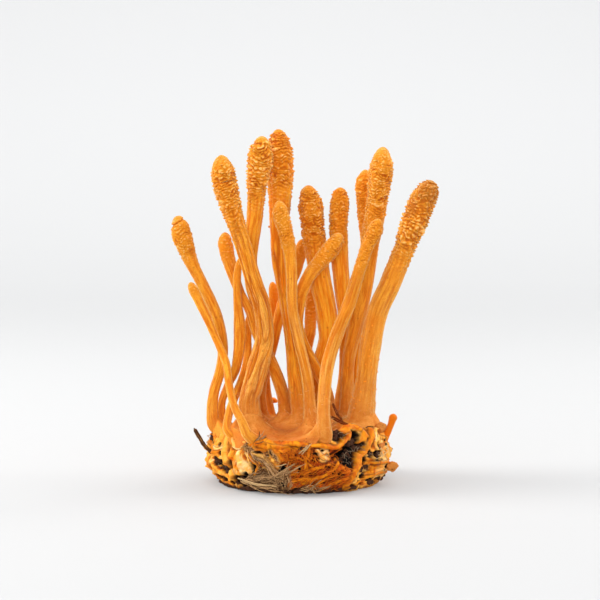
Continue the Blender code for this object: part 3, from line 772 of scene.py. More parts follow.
# %% Cords on the side
# colour, half width, rise, route
CORDS = [
    ("gold", 0.70, 1.4, [(214, 13.6), (215, 12.4), (215.5, 10.6), (216, 9.5), (218, 7.4), (218.5, 5.6),
        (220, 4.3), (223, 3.0)]),
    ("bright", 0.34, 0.8, [(201, 9.5), (194, 8.3), (193, 7.6), (199, 7.0), (210, 6.1), (216, 5.7),
        (219, 5.6)]),
    ("cream", 0.20, 0.7, [(201, 9.5), (207, 9.0), (212, 9.4)]),
    ("bright", 0.36, 0.7, [(186, 12.6), (195, 11.5), (201, 9.5)]),
    ("bright", 0.40, 0.8, [(181, 11.3), (183, 10.4), (185, 8.9), (196, 9.0), (199, 10.1), (191, 11.1),
        (181, 11.3)]),
    ("cream", 0.34, 0.8, [(212, 13.2), (218, 12.7), (222, 10.6), (225, 9.7), (231, 10.3)]),
    ("cream", 0.25, 0.6, [(223, 12.0), (229, 12.4), (232, 12.3)]),
    ("bright", 0.42, 0.9, [(235, 9.4), (239, 8.0), (241, 6.5), (241, 4.6)]),
    ("cream", 0.22, 0.7, [(236, 9.2), (238, 7.6), (239.5, 5.6)]),
    ("bright", 0.40, 0.8, [(189, 6.0), (193, 4.4), (196, 2.6), (203, 1.5), (213, 1.1), (222, 0.7),
        (234, 0.6)]),
    ("cream", 0.18, 0.7, [(226, 3.3), (225, 2.1), (224, 0.8)]),
    ("taupe", 0.26, 0.7, [(231, 10.2), (236, 11.0), (243, 12.1)]),
    ("bright", 0.80, 1.4, [(239, 10.9), (242, 11.6), (246, 12.0), (251, 12.2), (255, 11.8), (258, 11.3),
        (262, 11.7), (265, 12.0), (270, 11.8), (276, 11.2)]),
    ("bright", 0.85, 0.9, [(251, 11.5), (255, 10.3), (257, 9.2), (258, 8.2)]),
    ("bright", 0.70, 0.8, [(243, 11.4), (249, 10.9), (256, 10.6), (263, 10.7)]),
    ("taupe", 0.48, 1.0, [(235, 10.1), (241, 9.4), (247, 8.8), (250, 7.8), (253, 6.7), (255, 5.6),
        (258, 4.6)]),
    ("taupe", 0.50, 0.5, [(252, 9.7), (255, 8.7), (257, 7.7)]),
    ("bright", 0.50, 1.2, [(273, 11.0), (276, 10.9), (279, 11.3), (284, 11.3), (289, 10.8), (292, 10.4),
        (297, 10.7), (301, 11.6), (305, 12.6), (307, 13.6)]),
    ("bright", 0.80, 1.3, [(327, 13.6), (325, 12.3), (321, 10.8), (316, 9.3), (310, 7.9), (307, 6.2),
        (305, 4.5), (304, 2.7), (303, 0.9)]),
    ("bright", 0.60, 0.9, [(303, 13.7), (308, 14.5), (314, 14.5), (319, 13.6), (321, 12.4)]),
    ("bright", 0.70, 1.0, [(320, 13.0), (317, 11.6), (315, 10.5)]),
    ("cream", 0.30, 1.0, [(337, 14.0), (332, 13.0), (326, 11.1), (326, 9.3), (329, 8.5), (334, 7.3),
        (335, 6.6)]),
    ("gold", 0.34, 0.9, [(337, 12.3), (342, 12.9), (353, 12.6), (360, 11.9), (359, 11.3), (354, 10.5),
        (344, 11.0), (337, 11.5), (337, 12.3)]),
    ("gold", 0.60, 0.9, [(362, 12.1), (361, 11.3), (362, 9.6), (352, 8.4), (346, 6.5), (348, 3.7)]),
    ("taupe", 0.24, 0.8, [(315, 8.1), (319, 8.5), (322, 7.6), (328, 7.1), (335, 6.3), (330, 5.8),
        (324, 6.6), (320, 5.6)]),
    ("bright", 0.32, 0.6, [(313, 5.7), (319, 6.2), (328, 6.2), (339, 5.4), (350, 5.8)]),
    ("taupe", 0.24, 0.6, [(311, 5.1), (316, 4.5), (321, 4.9)]),
    ("bright", 0.36, 0.7, [(303, 0.8), (307, 1.4), (314, 2.4), (320, 2.8), (328, 3.1), (345, 3.0)]),
    ("bright", 0.30, 0.6, [(262, 8.8), (268, 8.6), (274, 7.6), (278, 6.4)]),
    ("bright", 0.34, 0.7, [(264, 4.8), (270, 5.0), (276, 5.6), (282, 6.4), (289, 7.2)]),
    ("bright", 0.40, 0.7, [(266, 3.2), (272, 3.6), (278, 3.4), (284, 4.2), (290, 5.6), (295, 7.2)]),
    ("bright", 0.34, 0.6, [(277, 1.6), (283, 2.6), (288, 3.8), (294, 4.4)]),
    ("bright", 0.36, 0.6, [(284, 0.8), (290, 1.8), (296, 2.6), (301, 3.6)]),
    ("rust", 0.30, 0.5, [(272, 9.6), (273, 8.2), (272, 6.4), (269, 4.4)]),
    ("bright", 0.44, 0.7, [(277, 10.8), (276, 9.4), (274, 8.0), (274, 6.2)]),
    ("cream", 0.40, 0.6, [(281, 10.2), (284, 8.9), (288, 8.3)]),
]
print("cords on the photographed side:", len(CORDS))

# %% Pits and patches on the side
# angle, height, half angle, half height, depth
PITS = [
    (298, 12.9, 5.5, 1.0, 2.4), (309, 10.5, 7.0, 1.7, 2.6), (311, 12.4, 3.8, 1.1, 2.4),
    (302, 7.9, 4.6, 1.4, 1.8), (306, 9.3, 4.4, 1.2, 2.2), (292, 5.2, 1.4, 0.5, 0.9),
    (296.5, 4.6, 1.4, 0.5, 0.9), (339, 12.6, 3.0, 0.7, 1.6), (332, 12.3, 1.2, 0.3, 0.8),
    (347, 10.0, 3.6, 0.8, 1.6), (342, 11.2, 2.4, 0.6, 1.4), (352, 6.8, 2.6, 0.8, 1.4),
    (357, 9.6, 2.0, 0.7, 1.2), (331, 10.2, 1.8, 0.5, 1.2), (343, 4.6, 2.4, 0.5, 1.2),
    (326, 2.2, 4.0, 0.5, 1.2), (338, 1.6, 4.0, 0.4, 1.0), (336, 9.4, 4.0, 0.6, 1.2),
    (320, 8.6, 2.8, 0.9, 1.8), (328, 8.0, 5.0, 0.9, 2.0), (315, 6.9, 3.2, 1.0, 1.6),
    (334, 6.6, 1.7, 0.3, 0.8), (308, 1.2, 2.1, 0.5, 1.2), (316, 3.3, 2.8, 0.6, 1.2),
    (206, 6.1, 4.2, 0.9, 1.6), (214, 4.6, 5.0, 1.0, 1.9), (197, 4.4, 2.6, 0.7, 1.4),
    (187, 7.2, 2.4, 0.9, 1.3), (201, 2.6, 3.4, 0.5, 1.2), (228, 10.9, 3.0, 0.35, 1.0),
    (228, 2.3, 6.0, 0.9, 1.8), (233, 3.9, 2.0, 0.7, 1.2), (240, 5.6, 1.2, 1.4, 1.0),
    (221, 6.2, 1.1, 1.0, 1.2), (211, 8.0, 1.6, 0.4, 0.9), (193, 3.2, 2.6, 0.6, 1.2),
    (209, 2.0, 3.4, 0.5, 1.2), (219, 1.6, 3.0, 0.4, 1.1), (190, 9.9, 3.4, 0.5, 1.3),
    (203, 11.6, 2.4, 0.4, 1.2), (195, 12.2, 1.6, 0.3, 1.0), (209, 9.9, 1.6, 0.35, 0.9),
    (198, 8.0, 1.6, 0.5, 1.0), (245, 9.6, 3.6, 0.3, 1.1), (260, 6.6, 3.2, 0.9, 1.8),
    (252, 9.6, 0.7, 0.4, 0.8), (280, 8.9, 2.4, 0.8, 1.2), (284.5, 10.1, 1.2, 0.2, 0.6),
    (270, 6.0, 0.6, 0.9, 0.9), (278, 4.6, 2.9, 0.3, 0.9), (287, 6.6, 1.5, 0.4, 0.9),
    (259, 2.6, 2.2, 0.5, 0.9),
]
# colour, angle, height, half angle, half height
PATCHES = [
    ("cream", 228, 8.0, 3.0, 1.8), ("cream", 231.5, 6.4, 4.4, 2.6), ("cream", 237, 5.4, 3.4, 1.6),
    ("cream", 214, 8.9, 3.0, 1.2), ("cream", 196, 6.0, 4.0, 1.4), ("cream", 313, 14.3, 7.0, 0.7),
    ("cream", 335, 10.6, 6.0, 1.6), ("cream", 285, 9.3, 5.0, 1.6), ("cream", 346, 6.5, 12.0, 5.0),
    ("taupe", 330, 6.9, 6.0, 1.2), ("gold", 344, 10.6, 9.0, 1.6), ("cream", 338, 3.2, 12.0, 2.0),
    ("cream", 204, 9.4, 6.0, 0.5), ("cream", 212, 6.9, 2.6, 0.9), ("cream", 224, 4.4, 2.4, 1.0),
    ("bright", 324, 4.9, 10.0, 1.4), ("gold", 207, 10.4, 7.0, 1.8), ("gold", 190, 8.0, 6.0, 1.8),
    ("gold", 196, 3.0, 9.0, 1.4), ("bright", 203, 8.3, 6.0, 0.8), ("gold", 214, 7.2, 4.0, 1.6),
    ("bright", 234, 8.5, 3.1, 1.1), ("bright", 274, 3.4, 4.0, 0.9), ("bright", 258, 10.8, 18.0, 1.6),
    ("taupe", 246, 9.4, 4.6, 0.8), ("taupe", 246, 3.6, 14.0, 2.7), ("taupe", 259, 2.6, 4.6, 2.2),
    ("taupe", 276, 1.5, 7.0, 0.9), ("rust", 302, 7.4, 7.0, 2.2), ("rust", 278, 6.2, 14.0, 3.4),
]
print("pits", len(PITS), "patches", len(PATCHES))

# %% Cords and pits of the hidden sides
rng = np.random.default_rng(7)
HIDDEN_START, HIDDEN_END = 8.0, 172.0
CORD_DRAWS = ("cream", "bright", "bright", "cream", "taupe", "rust")
PATCH_TURNS = ("cream", "bright", "taupe", "rust", "bright")
# height, half angle, half height, depth
PIT_SPANS = ((1.6, 10.2), (1.2, 5.0), (0.4, 1.3), (1.0, 2.2))


def hidden_angle(k, count):
    """A random angle in the share k of the hidden side, when it is cut into count shares."""
    return HIDDEN_START + (HIDDEN_END - HIDDEN_START) * (k + rng.uniform(0.1, 0.9)) / count


def scatter_cords(count):
    """Cords that wander down or along the hidden side."""
    found = []
    for k in range(count):
        angle = hidden_angle(k, count)
        height = rng.uniform(3.0, 11.0)
        slope = rng.uniform(-1, 1)
        route = []
        for _ in range(int(rng.integers(4, 7))):
            route.append((angle, max(0.6, height)))
            slope = np.clip(slope + rng.uniform(-0.7, 0.7), -1.2, 1.2)
            angle += 4.2 * slope
            height -= 1.9 * (1.3 - abs(slope))
        kind = CORD_DRAWS[int(rng.integers(0, 6))]
        found.append((kind, float(rng.uniform(0.24, 0.65)), float(rng.uniform(0.6, 1.1)), route))
    return found


def scatter_pits(count):
    found = []
    for k in range(count):
        angle = hidden_angle(k, count)
        found.append((angle, *(rng.uniform(*span) for span in PIT_SPANS)))
    return found


def scatter_patches(count):
    found = []
    for k in range(count):
        angle = hidden_angle(k, count)
        kind = PATCH_TURNS[k % 5]
        found.append((kind, angle, rng.uniform(1.5, 9.5), rng.uniform(5, 12), rng.uniform(1.2, 3.0)))
    return found


CORDS += scatter_cords(34)
PITS += scatter_pits(30)
PATCHES += scatter_patches(18)
print("with the hidden sides: cords", len(CORDS), "pits", len(PITS))

# %% [markdown]
# ## Relief of the side
# Each cord lifts the skin in a round ridge with a crease of painted shade beside it, each pit
# sinks it with a ragged edge, and what lies between gets a net of membranes, fraying or straw. The
# same sums give the masks that the material turns into colours, so colour and relief always agree.

# %% Helpers of the side
RIM = [
    (0, 12.3), (12, 11.4), (40, 11.6), (70, 11.2), (100, 11.7), (130, 11.3), (160, 11.8), (178, 11.9),
    (186, 12.4), (196, 12.0), (206, 12.6), (216, 12.8), (226, 12.4), (233, 11.4), (240, 11.7), (247, 12.5),
    (256, 12.1), (264, 12.3), (272, 11.8), (280, 11.8), (289, 11.5), (294, 11.8), (299, 13.7), (306, 14.9),
    (314, 15.0), (322, 14.2), (330, 13.7), (338, 13.4), (348, 13.2), (354, 12.9), (360, 12.3),
]
KINDS = ("cream", "bright", "gold", "taupe", "rust")


def turn_between(a, b):
    """The smaller angle between directions, in degrees."""
    return np.abs((a - b + 180) % 360 - 180)


def turn_from(a, b):
    """The angle from b to a, from -180 to 180."""
    return (a - b + 180) % 360 - 180


def arc_length(angle):
    """Millimetres along the side for one degree at this angle."""
    turn = np.radians(angle)
    return np.hypot(MAT_HALF_WIDTH * np.sin(turn), MAT_HALF_DEPTH * np.cos(turn)) * math.pi / 180


def rim_height(angle):
    angles, heights = np.array(RIM).T
    turn = np.radians(angle)
    return np.interp(angle % 360, angles, heights) + 0.25 * np.sin(turn * 23) * np.sin(turn * 7)


def marks(angle, height, table):
    """The solid's hollows and ridges added up at each place."""
    total = np.zeros(len(angle))
    for at, middle, half_turn, half_height, most in table:
        across = turn_between(angle, at) / half_turn
        up = (height - middle) / half_height
        total += most * np.exp(-across ** 2 - up ** 2)
    return total


def half_axes(angle):
    turn = np.radians(angle)
    return np.array([MAT_HALF_WIDTH * np.cos(turn), MAT_HALF_DEPTH * np.sin(turn)])


def slow_lumps(x, y, z):
    """The same slow lumps as on the solid."""
    rows = zip(x.tolist(), y.tolist(), z.tolist())
    return np.array([noise.noise(Vector(p) * 0.30) + 0.5 * noise.noise(Vector(p) * 0.75) for p in rows])


def zone(angle, start, end, blur=8.0):
    """1 from start to end, counted round the cake, and 0 outside."""
    half = ((end - start) % 360) / 2
    middle = (start + half) % 360
    return 1 - ease(half - blur / 2, half + blur / 2, turn_between(angle, middle))


CORD_STEPS = 6


def gap_to_route(angle, height, route):
    """Distance in mm from each place to a route on the side."""
    line = smooth_route(route, CORD_STEPS)
    scale = arc_length(line[:, 0].mean())
    best = np.full(len(angle), 9.0)
    for (a0, h0), (a1, h1) in zip(line, line[1:]):
        dx, dy = turn_from(a1, a0) * scale, h1 - h0
        px, py = turn_from(angle, a0) * scale, height - h0
        share = np.clip((px * dx + py * dy) / max(dx * dx + dy * dy, 1e-9), 0, 1)
        best = np.minimum(best, np.hypot(px - share * dx, py - share * dy))
    return best


# %% Ground of the side
def grain_along(angle, height, heading, long, wide, seed):
    """Crests that run along one heading on the side, given in degrees above level."""
    scale = arc_length(270.0)
    u, v = turn_from(angle, 270) * scale, height
    c, s = math.cos(math.radians(heading)), math.sin(math.radians(heading))
    along = np.stack([(u * c + v * s) / long, (v * c - u * s) / wide, np.zeros(len(u))], axis=1)
    return ridge_noise(along, 1.0, seed, 3)


def ground_relief(angle, height, spot, warp, fine_warp):
    """Net, fraying and straw between the cords."""
    moved = spot + warp * 1.2 + fine_warp * 0.3
    near, far, _ = cell_noise(moved, (3.6, 3.6, 3.0), 67)
    wall = np.exp(-((far - near) / 0.26) ** 2)
    small_near, small_far, small_value = cell_noise(moved, (1.4, 1.4, 1.1), 68)
    tuft = layered_noise(spot + fine_warp * 0.5, (0.5, 0.5, 1.1), 71, 3)
    bent = height + warp[:, 1] * 0.8
    folds = grain_along(angle + warp[:, 0] * 2, bent, 32, 3.4, 1.15, 72)
    straws = grain_along(angle + warp[:, 0] * 2, bent, 18, 4.0, 0.55, 74)
    frayed = zone(angle, 263, 303) * ease(11.8, 10.4, height)
    frayed = np.maximum(frayed, ease(0.2, 0.5, soft_noise(spot, 9.0, 69)) * zone(angle, 20, 165))
    strawy = zone(angle, 230, 266, 10) * (1 - ease(5.0, 6.6, height + 0.8 * warp[:, 0]))
    strawy = np.maximum(strawy, ease(0.25, 0.55, soft_noise(spot, 8.0, 70)) * zone(angle, 30, 175) * 0.9)
    draped = zone(angle, 200, 239, 5) * ease(3.2, 4.6, height) * ease(10.8, 9.4, height)
    drapes = grain_along(angle + warp[:, 1] * 2.5, height, 76, 5.5, 1.6, 76)
    net = np.clip(1 - frayed - strawy - draped, 0, 1)
    net *= 1 - 0.55 * np.maximum(zone(angle, 184, 226), zone(angle, 322, 368))
    wrinkles = ridge_noise(moved + fine_warp * 0.4, (2.0, 2.0, 1.3), 77, 2)
    cupped = ease(0.0, 0.7, far - near)
    relief = net * (0.50 * wall - 0.50 * (1 - wall) * cupped)
    relief += frayed * (1.5 * folds - 0.95 + 0.15 * tuft) + strawy * (0.5 * straws - 0.55)
    relief += draped * (1.1 * drapes - 0.40)
    relief += net * 0.7 * (wrinkles - 0.45)
    relief += 0.16 * tuft + 0.25 * warp[:, 0] - 0.15
    where = np.maximum(zone(angle, 345, 175, 20), zone(angle, 236, 350))
    chance = where * ease(0.72, 0.80, small_value) * ease(0.30, 0.5, small_far - small_near)
    crest = np.clip(frayed * folds + strawy * straws + draped * drapes + net * wall, 0, 1)
    masks = {"wall": net * wall, "crest": crest, "frayed": frayed, "strawy": strawy}
    return relief, masks, chance


# %% Cords, patches and pits of the side
CORD_SPREAD = {"cream": 0.9, "bright": 1.0, "gold": 1.0, "taupe": 1.2, "rust": 1.2}
CORE_START = 0.95
CORE_FULL = 0.70
PIT_SPREAD = 1.28
PIT_RAGS = 0.30


def oval_reach(angle, height, at, middle, half_turn, half_height):
    """How far each place is from the middle of an oval mark: 1 on its edge."""
    return np.hypot(turn_between(angle, at) / half_turn, (height - middle) / half_height)


def lay_cord(cord, angle, height, warp, fine_warp, masks):
    """Raise one cord at the places near its route, and give them its colour."""
    kind, half_width, lift, route = cord
    ends = np.array(route)
    centre = ends[:, 0].mean()
    near = turn_between(angle, centre) < np.abs(turn_from(ends[:, 0], centre)).max() + 8
    near &= (height > ends[:, 1].min() - 2) & (height < ends[:, 1].max() + 2)
    if not near.any():
        return
    warp, fine_warp = warp[near], fine_warp[near]
    light_angle = angle[near] + warp[:, 1] * 0.8 + fine_warp[:, 1] * 0.3
    light_height = height[near] + warp[:, 2] * 0.22 + fine_warp[:, 2] * 0.08
    gap = gap_to_route(light_angle, light_height, route)
    half = half_width * CORD_SPREAD[kind] * (1 + 0.45 * warp[:, 0] + 0.20 * fine_warp[:, 0])
    round_top = np.sqrt(np.clip(1 - (gap / (half * 1.2)) ** 2, 0, 1))
    skirt = 0.55 * np.exp(-np.maximum(gap - half, 0) / (0.35 + 0.5 * half))
    raised = lift * np.maximum(round_top, skirt) - 0.35 * lift + 0.06 * fine_warp[:, 1]
    relief = masks["relief"]
    relief[near] = np.where(gap < half * 2 + 0.4, np.maximum(relief[near], raised), relief[near])
    inside = ease(1.25, 0.85, gap / half)
    for other in (*KINDS, "hole"):
        masks[other][near] *= 1 - inside
    masks[kind][near] = np.maximum(masks[kind][near], inside)
    # A band beside the cord is marked for painted shade.
    beside = ease(half + 0.45, half + 0.1, gap)
    masks["shaded_crease"][near] = np.maximum(masks["shaded_crease"][near], beside) * (1 - inside)


def side_detail(angle, height, spot):
    """Masks of the side, with its fine relief in mm, outwards, among them."""
    warp = np.stack([soft_noise(spot, 2.6, k) for k in (61, 62, 63)], axis=1)
    fine_warp = np.stack([soft_noise(spot, 0.9, k) for k in (64, 65, 66)], axis=1)
    relief, masks, chance = ground_relief(angle, height, spot, warp, fine_warp)
    bent_angle = angle + warp[:, 1] * 1.2 + fine_warp[:, 1] * 0.9
    bent_height = height + warp[:, 2] * 0.30 + fine_warp[:, 2] * 0.28
    masks.update({key: np.zeros(len(angle)) for key in (*KINDS, "shaded_crease")})
    for kind, *mark in PATCHES:
        shape = oval_reach(bent_angle, bent_height, *mark)
        masks[kind] = np.maximum(masks[kind], 1 - ease(0.75, 1.15, shape))
        relief = relief + 0.40 * (kind in ("bright", "gold")) * (1 - ease(0.2, 1.2, shape))
    hole = chance * 0.8
    uneven = 0.8 + 0.2 * soft_noise(spot, 0.8, 73)
    pits = []
    for *mark, depth in PITS:
        shape = oval_reach(bent_angle, bent_height, *mark) / PIT_SPREAD + PIT_RAGS * fine_warp[:, 0]
        pits.append((depth, shape))
        relief = relief - depth * (1 - ease(0.80, 1.20, shape)) * uneven
        hole = np.maximum(hole, 1 - ease(0.85, 1.1, shape))
    masks.update(hole=hole, relief=relief - 0.6 * chance)
    for cord in CORDS:
        lay_cord(cord, angle, height, warp, fine_warp, masks)
    for depth, shape in pits:
        core = 1 - ease(CORE_FULL, CORE_START, shape)
        pressed = np.minimum(masks["relief"], -0.8 * depth)
        masks["relief"] = masks["relief"] * (1 - core) + pressed * core
        masks["hole"] = np.maximum(masks["hole"], core)
    masks["shaded_crease"] *= 1 - masks["hole"]
    masks["hole"] = np.clip(masks["hole"], 0, 1)
    return masks


# %% Places on the side
DEEPEST = 18.0


def side_reach(height):
    climb = np.clip(height / SIDE_TOP, 0, 1)
    over = np.maximum(height - SIDE_TOP, 0)
    return MAT_FOOT_SHARE + (1.0 - MAT_FOOT_SHARE) * np.sin(0.33 + 1.93 * climb) - 0.011 * over ** 1.6


def side_place(angle, height, lift=0.0, fine=True):
    """Points on the side of the cake at angles and heights, lifted off it by some mm, and masks."""
    angle = np.asarray(angle, float) % 360
    height = np.asarray(height, float)
    hx, hy = half_axes(angle)
    length = np.hypot(hx, hy)
    low_height = np.minimum(height, SIDE_TOP)
    inward = marks(angle, low_height, HOLLOWS + RIDGES) * 0.6 - slow_lumps(hx, hy, low_height) * MAT_LUMP
    fade = 0.4 + 0.6 * np.minimum(1, height / SIDE_TOP * 5)
    radius = length * side_reach(height) - inward * fade + lift
    masks = {}
    if fine:
        spot = np.stack([hx, hy, height], axis=1)
        masks = side_detail(angle, height, spot)
        radius = radius + masks["relief"] * (0.2 + 0.8 * fade) - 0.45
    across, deep = hx / length * radius, hy / length * radius
    over = np.maximum(np.abs(deep) - DEEPEST, 0)
    deep = np.sign(deep) * (np.minimum(np.abs(deep), DEEPEST) + np.tanh(over))
    return np.stack([across, deep, height], axis=1), masks


print("front of the rim, mm:", side_place([270], [SIDE_TOP], fine=False)[0].round(1))

# %% Build the side
SIDE_COLUMNS = 770
SIDE_ROWS = 94
FOLD_ROWS = 8
UNDER_ROWS = 5
MASKS = ("hole", "shaded_crease", "wall", "crest", "frayed", "strawy", *KINDS)
AROUND = 5
HOLLOW_DEPTH = 0.42
PEAK_HEIGHT = 0.45


def blurred(grid, reach):
    """Mean over a square of neighbours, round the cake and up it."""
    count = 2 * reach + 1
    round_mean = sum(np.roll(grid, k, axis=1) for k in range(-reach, reach + 1)) / count
    padded = np.pad(round_mean, ((reach, reach), (0, 0)), mode="edge")
    return sum(padded[k:k + len(grid)] for k in range(count)) / count


def build_side():
    angles = np.linspace(0, 360, SIDE_COLUMNS, endpoint=False)
    rim = rim_height(angles)
    climb = np.linspace(0, 1, SIDE_ROWS)
    angle = np.tile(angles, SIDE_ROWS)
    height = (climb[:, None] * rim[None, :]).ravel()
    places, found = side_place(angle, height)
    wall = places.reshape(SIDE_ROWS, SIDE_COLUMNS, 3)
    masks = {key: found[key].reshape(SIDE_ROWS, SIDE_COLUMNS) for key in MASKS}
    relief = found["relief"].reshape(SIDE_ROWS, SIDE_COLUMNS)
    # In the material, places below their neighbours' mean get painted shade and places above it get painted
    # highlights.
    above = relief - blurred(relief, AROUND)
    masks["hollow"] = np.clip(-above / HOLLOW_DEPTH, 0, 1)
    masks["peak_highlight"] = np.clip(above / PEAK_HEIGHT, 0, 1)
    under = [wall[0] * (k / UNDER_ROWS) for k in range(1, UNDER_ROWS)]
    fold = []
    for k in range(1, FOLD_ROWS + 1):
        part = k / FOLD_ROWS
        row = wall[-1] * (1 - 0.16 * part)
        row[:, 2] = wall[-1][:, 2] + 0.25 * math.sin(math.pi * min(1, part * 1.6)) - 3.2 * part ** 2
        fold.append(row)
    grid = np.concatenate([under, wall, fold])
    quads, triangles = grid_faces(len(grid), SIDE_COLUMNS)
    verts = close_grid(grid, (0, 0, 0), fold[-1].mean(axis=0))
    values = {}
    for key, value in masks.items():
        low = np.repeat(value[:1], UNDER_ROWS - 1, axis=0)
        high = np.repeat(value[-1:], FOLD_ROWS, axis=0)
        flat = np.concatenate([low, value, high]).ravel()
        values[key] = np.concatenate([flat, flat[:1], flat[-1:]])
    thing = make_mesh("cake_side", verts, quads, triangles, values)
    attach(thing, BODY)
    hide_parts("mat")
    return thing


cake_side = build_side()
print("side faces:", len(cake_side.data.polygons))

# %% [markdown]
# ## Powdery top
# Between the feet the cake is covered by one smooth powdery skin, drawn up into a collar round
# every foot so that the clubs seem to grow out of it. It is a height for every place across, which
# is all that a surface without overhangs needs.

# %% Build the top
TOP_COLUMNS = 320
TOP_ROWS = 86
EDGE_ROWS = 12
# The skin also climbs between some feet: middle x, middle y, half width, rise.
SWELLS = [
    (14.0, -9.5, 4.0, 1.2), (-13.5, -8.0, 4.5, 1.0), (-1.0, 2.0, 6.0, 0.6), (-16.5, -1.0, 4.0, 0.8),
]


def foot_levels(name):
    """Height, middle and half width of a foot at levels above the cake."""
    points = ROUTES[name]
    line, along, _ = club_line(points)
    stops = np.linspace(0, 12, 60)
    rings = foot_drawn(sample(line, along, stops), stops)
    size = min(1.0, points[0][3] / 4) ** 2
    climb = np.linspace(0, size * COLLAR_HEIGHT, COLLAR_LEVELS)
    x, y, half = (np.interp(COLLAR_GROUND + climb, rings[:, 2], rings[:, k]) for k in (0, 1, 3))
    return climb, x, y, half, size


def collar(x, y):
    """Rise of the top towards the feet: at each level it closes in on the foot as drawn there."""
    rise = np.zeros(len(x))
    spot = np.stack([x, y, np.zeros(len(x))], axis=1)
    ragged = 0.22 * layered_noise(spot, 1.6, 84)
    for name in ROUTES:
        if not name.startswith("club"):
            continue
        climb, foot_x, foot_y, half, size = foot_levels(name)
        reach = -np.log(np.maximum(climb / climb[-1], 0.02)) * COLLAR_REACH * (0.5 + 0.5 * size)
        reach = reach - COLLAR_BITE
        gap = np.hypot(x - foot_x[:, None], y - foot_y[:, None]) - (half + reach)[:, None] + ragged
        inside = gap < 0
        last = len(climb) - 1 - np.argmax(inside[::-1], axis=0)
        after = np.minimum(last + 1, len(climb) - 1)
        rows = np.arange(len(x))
        low, high = gap[last, rows], gap[after, rows]
        share = np.where(after > last, -low / np.maximum(high - low, 1e-6), 0)
        one = climb[last] + (climb[after] - climb[last]) * np.clip(share, 0, 1)
        one = np.where(inside.any(axis=0), one, 0)
        rise = np.log(np.exp(rise * 2) + np.exp(one * 2) - 1) / 2
    return rise


def top_height(x, y):
    reach = np.hypot(x / MAT_HALF_WIDTH, y / MAT_HALF_DEPTH)
    edge = np.maximum(0, reach - MAT_RIM_START) / (1 - MAT_RIM_START)
    spot = np.stack([x, y, np.zeros(len(x))], axis=1)
    height = MAT_HEIGHT - MAT_DISH * (1 - reach) - 0.6 * MAT_RIM_DROP * edge ** 2
    height += collar(x, y) + 0.40 * soft_noise(spot, 5.0, 80) + 0.07 * layered_noise(spot, 1.2, 81)
    height += 0.05 * layered_noise(spot, 0.45, 83, 2)
    for at_x, at_y, half, rise in SWELLS:
        height += rise * np.exp(-((x - at_x) ** 2 + (y - at_y) ** 2) / half ** 2)
    return height


def build_top():
    edge = np.linspace(0.97, 0.90, EDGE_ROWS, endpoint=False)
    share = np.concatenate([edge, np.linspace(0.90, 0.01, TOP_ROWS - EDGE_ROWS)])
    angles = np.linspace(0, 360, TOP_COLUMNS, endpoint=False)
    hx, hy = half_axes(angles) * (1 - 0.17 * zone(angles, 290, 336, 12) - 0.03)
    grid = np.zeros((TOP_ROWS, TOP_COLUMNS, 3))
    for row, part in enumerate(share):
        x, y = hx * part, hy * part
        sink = 2.6 * ease(0.90, 0.97, part) ** 1.5
        grid[row] = np.stack([x, y, top_height(x, y) - sink], axis=1)
    quads, triangles = grid_faces(TOP_ROWS, TOP_COLUMNS)
    verts = close_grid(grid, (0, 0, 6.0), grid[-1].mean(axis=0))
    thing = make_mesh("cake_top", verts, quads, triangles, {})
    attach(thing, BODY)
    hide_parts("mat")
    return thing


cake_top = build_top()
print("top faces:", len(cake_top.data.polygons))

# %% [markdown]
# ## Straw, fibres and crumbs
# The cake is full of loose matter: straw that lies along it, fine orange threads on the frayed part,
# grey hairs in the pits and dark crumbs. Hair curves would be quick, but they don't become a mesh,
# so each thread is a thin tube of its own. One helper makes hundreds of tubes into one mesh.


# %% Tubes from routes
def tubes_mesh(name, routes, widths, sides, shades):
    """One mesh of tapered tubes. routes: (count, points, 3) in mm. widths: half widths along them."""
    count, points, _ = routes.shape
    ahead = np.gradient(routes, axis=1)
    ahead /= np.linalg.norm(ahead, axis=2, keepdims=True) + 1e-9
    guide = np.array([0.13, 0.31, 0.94])
    across = np.cross(ahead, guide)
    across /= np.linalg.norm(across, axis=2, keepdims=True) + 1e-9
    over = np.cross(ahead, across)
    turn = np.linspace(0, 2 * math.pi, sides, endpoint=False)
    ring = across[:, :, None] * np.cos(turn)[:, None] + over[:, :, None] * np.sin(turn)[:, None]
    grid = routes[:, :, None] + ring * widths[:, :, None, None]
    block = points * sides + 2
    verts = np.concatenate([grid.reshape(count, points * sides, 3), routes[:, :1], routes[:, -1:]], axis=1)
    quads, triangles = grid_faces(points, sides)
    shift = (np.arange(count) * block)[:, None, None]
    quads = (quads[None] + shift).reshape(-1, 4)
    triangles = (triangles[None] + shift).reshape(-1, 3)
    values = {"shade": np.repeat(shades, block)}
    thing = make_mesh(name, verts.reshape(-1, 3), quads, triangles, values)
    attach(thing, BODY)
    return thing


def lying_routes(starts, headings, lengths, bends, points, lift, sway):
    """Routes on the side: from (angle, height) along a heading in degrees, bending as they go."""
    count = len(starts)
    share = np.linspace(0, 1, points)
    angle = np.zeros((count, points))
    height = np.zeros((count, points))
    for k in range(count):
        heading = np.radians(headings[k] + bends[k] * (share - 0.3))
        step = lengths[k] / (points - 1)
        scale = arc_length(starts[k][0])
        wave = sway * np.sin(share * rng.uniform(5, 11) + rng.uniform(0, 6))
        across = np.concatenate([[0], np.cumsum(np.cos(heading)[1:] * step)])
        up = np.concatenate([[0], np.cumsum(np.sin(heading)[1:] * step)])
        angle[k] = starts[k][0] + across / scale
        height[k] = starts[k][1] + up + wave
    height = np.clip(height, 0.15, 14.5)
    lifts = lift[:, None] * (1 + 0.6 * np.sin(share * 3.1))[None]
    places, _ = side_place(angle.ravel(), height.ravel(), lifts.ravel(), fine=False)
    return places.reshape(count, points, 3)


def taper(count, points, width, blunt=0.25):
    share = np.linspace(0, 1, points)
    shape = np.clip(np.minimum(share, 1 - share) * 8, blunt, 1) ** 0.5
    return shape[None] * (width * rng.uniform(0.6, 1.35, count))[:, None]


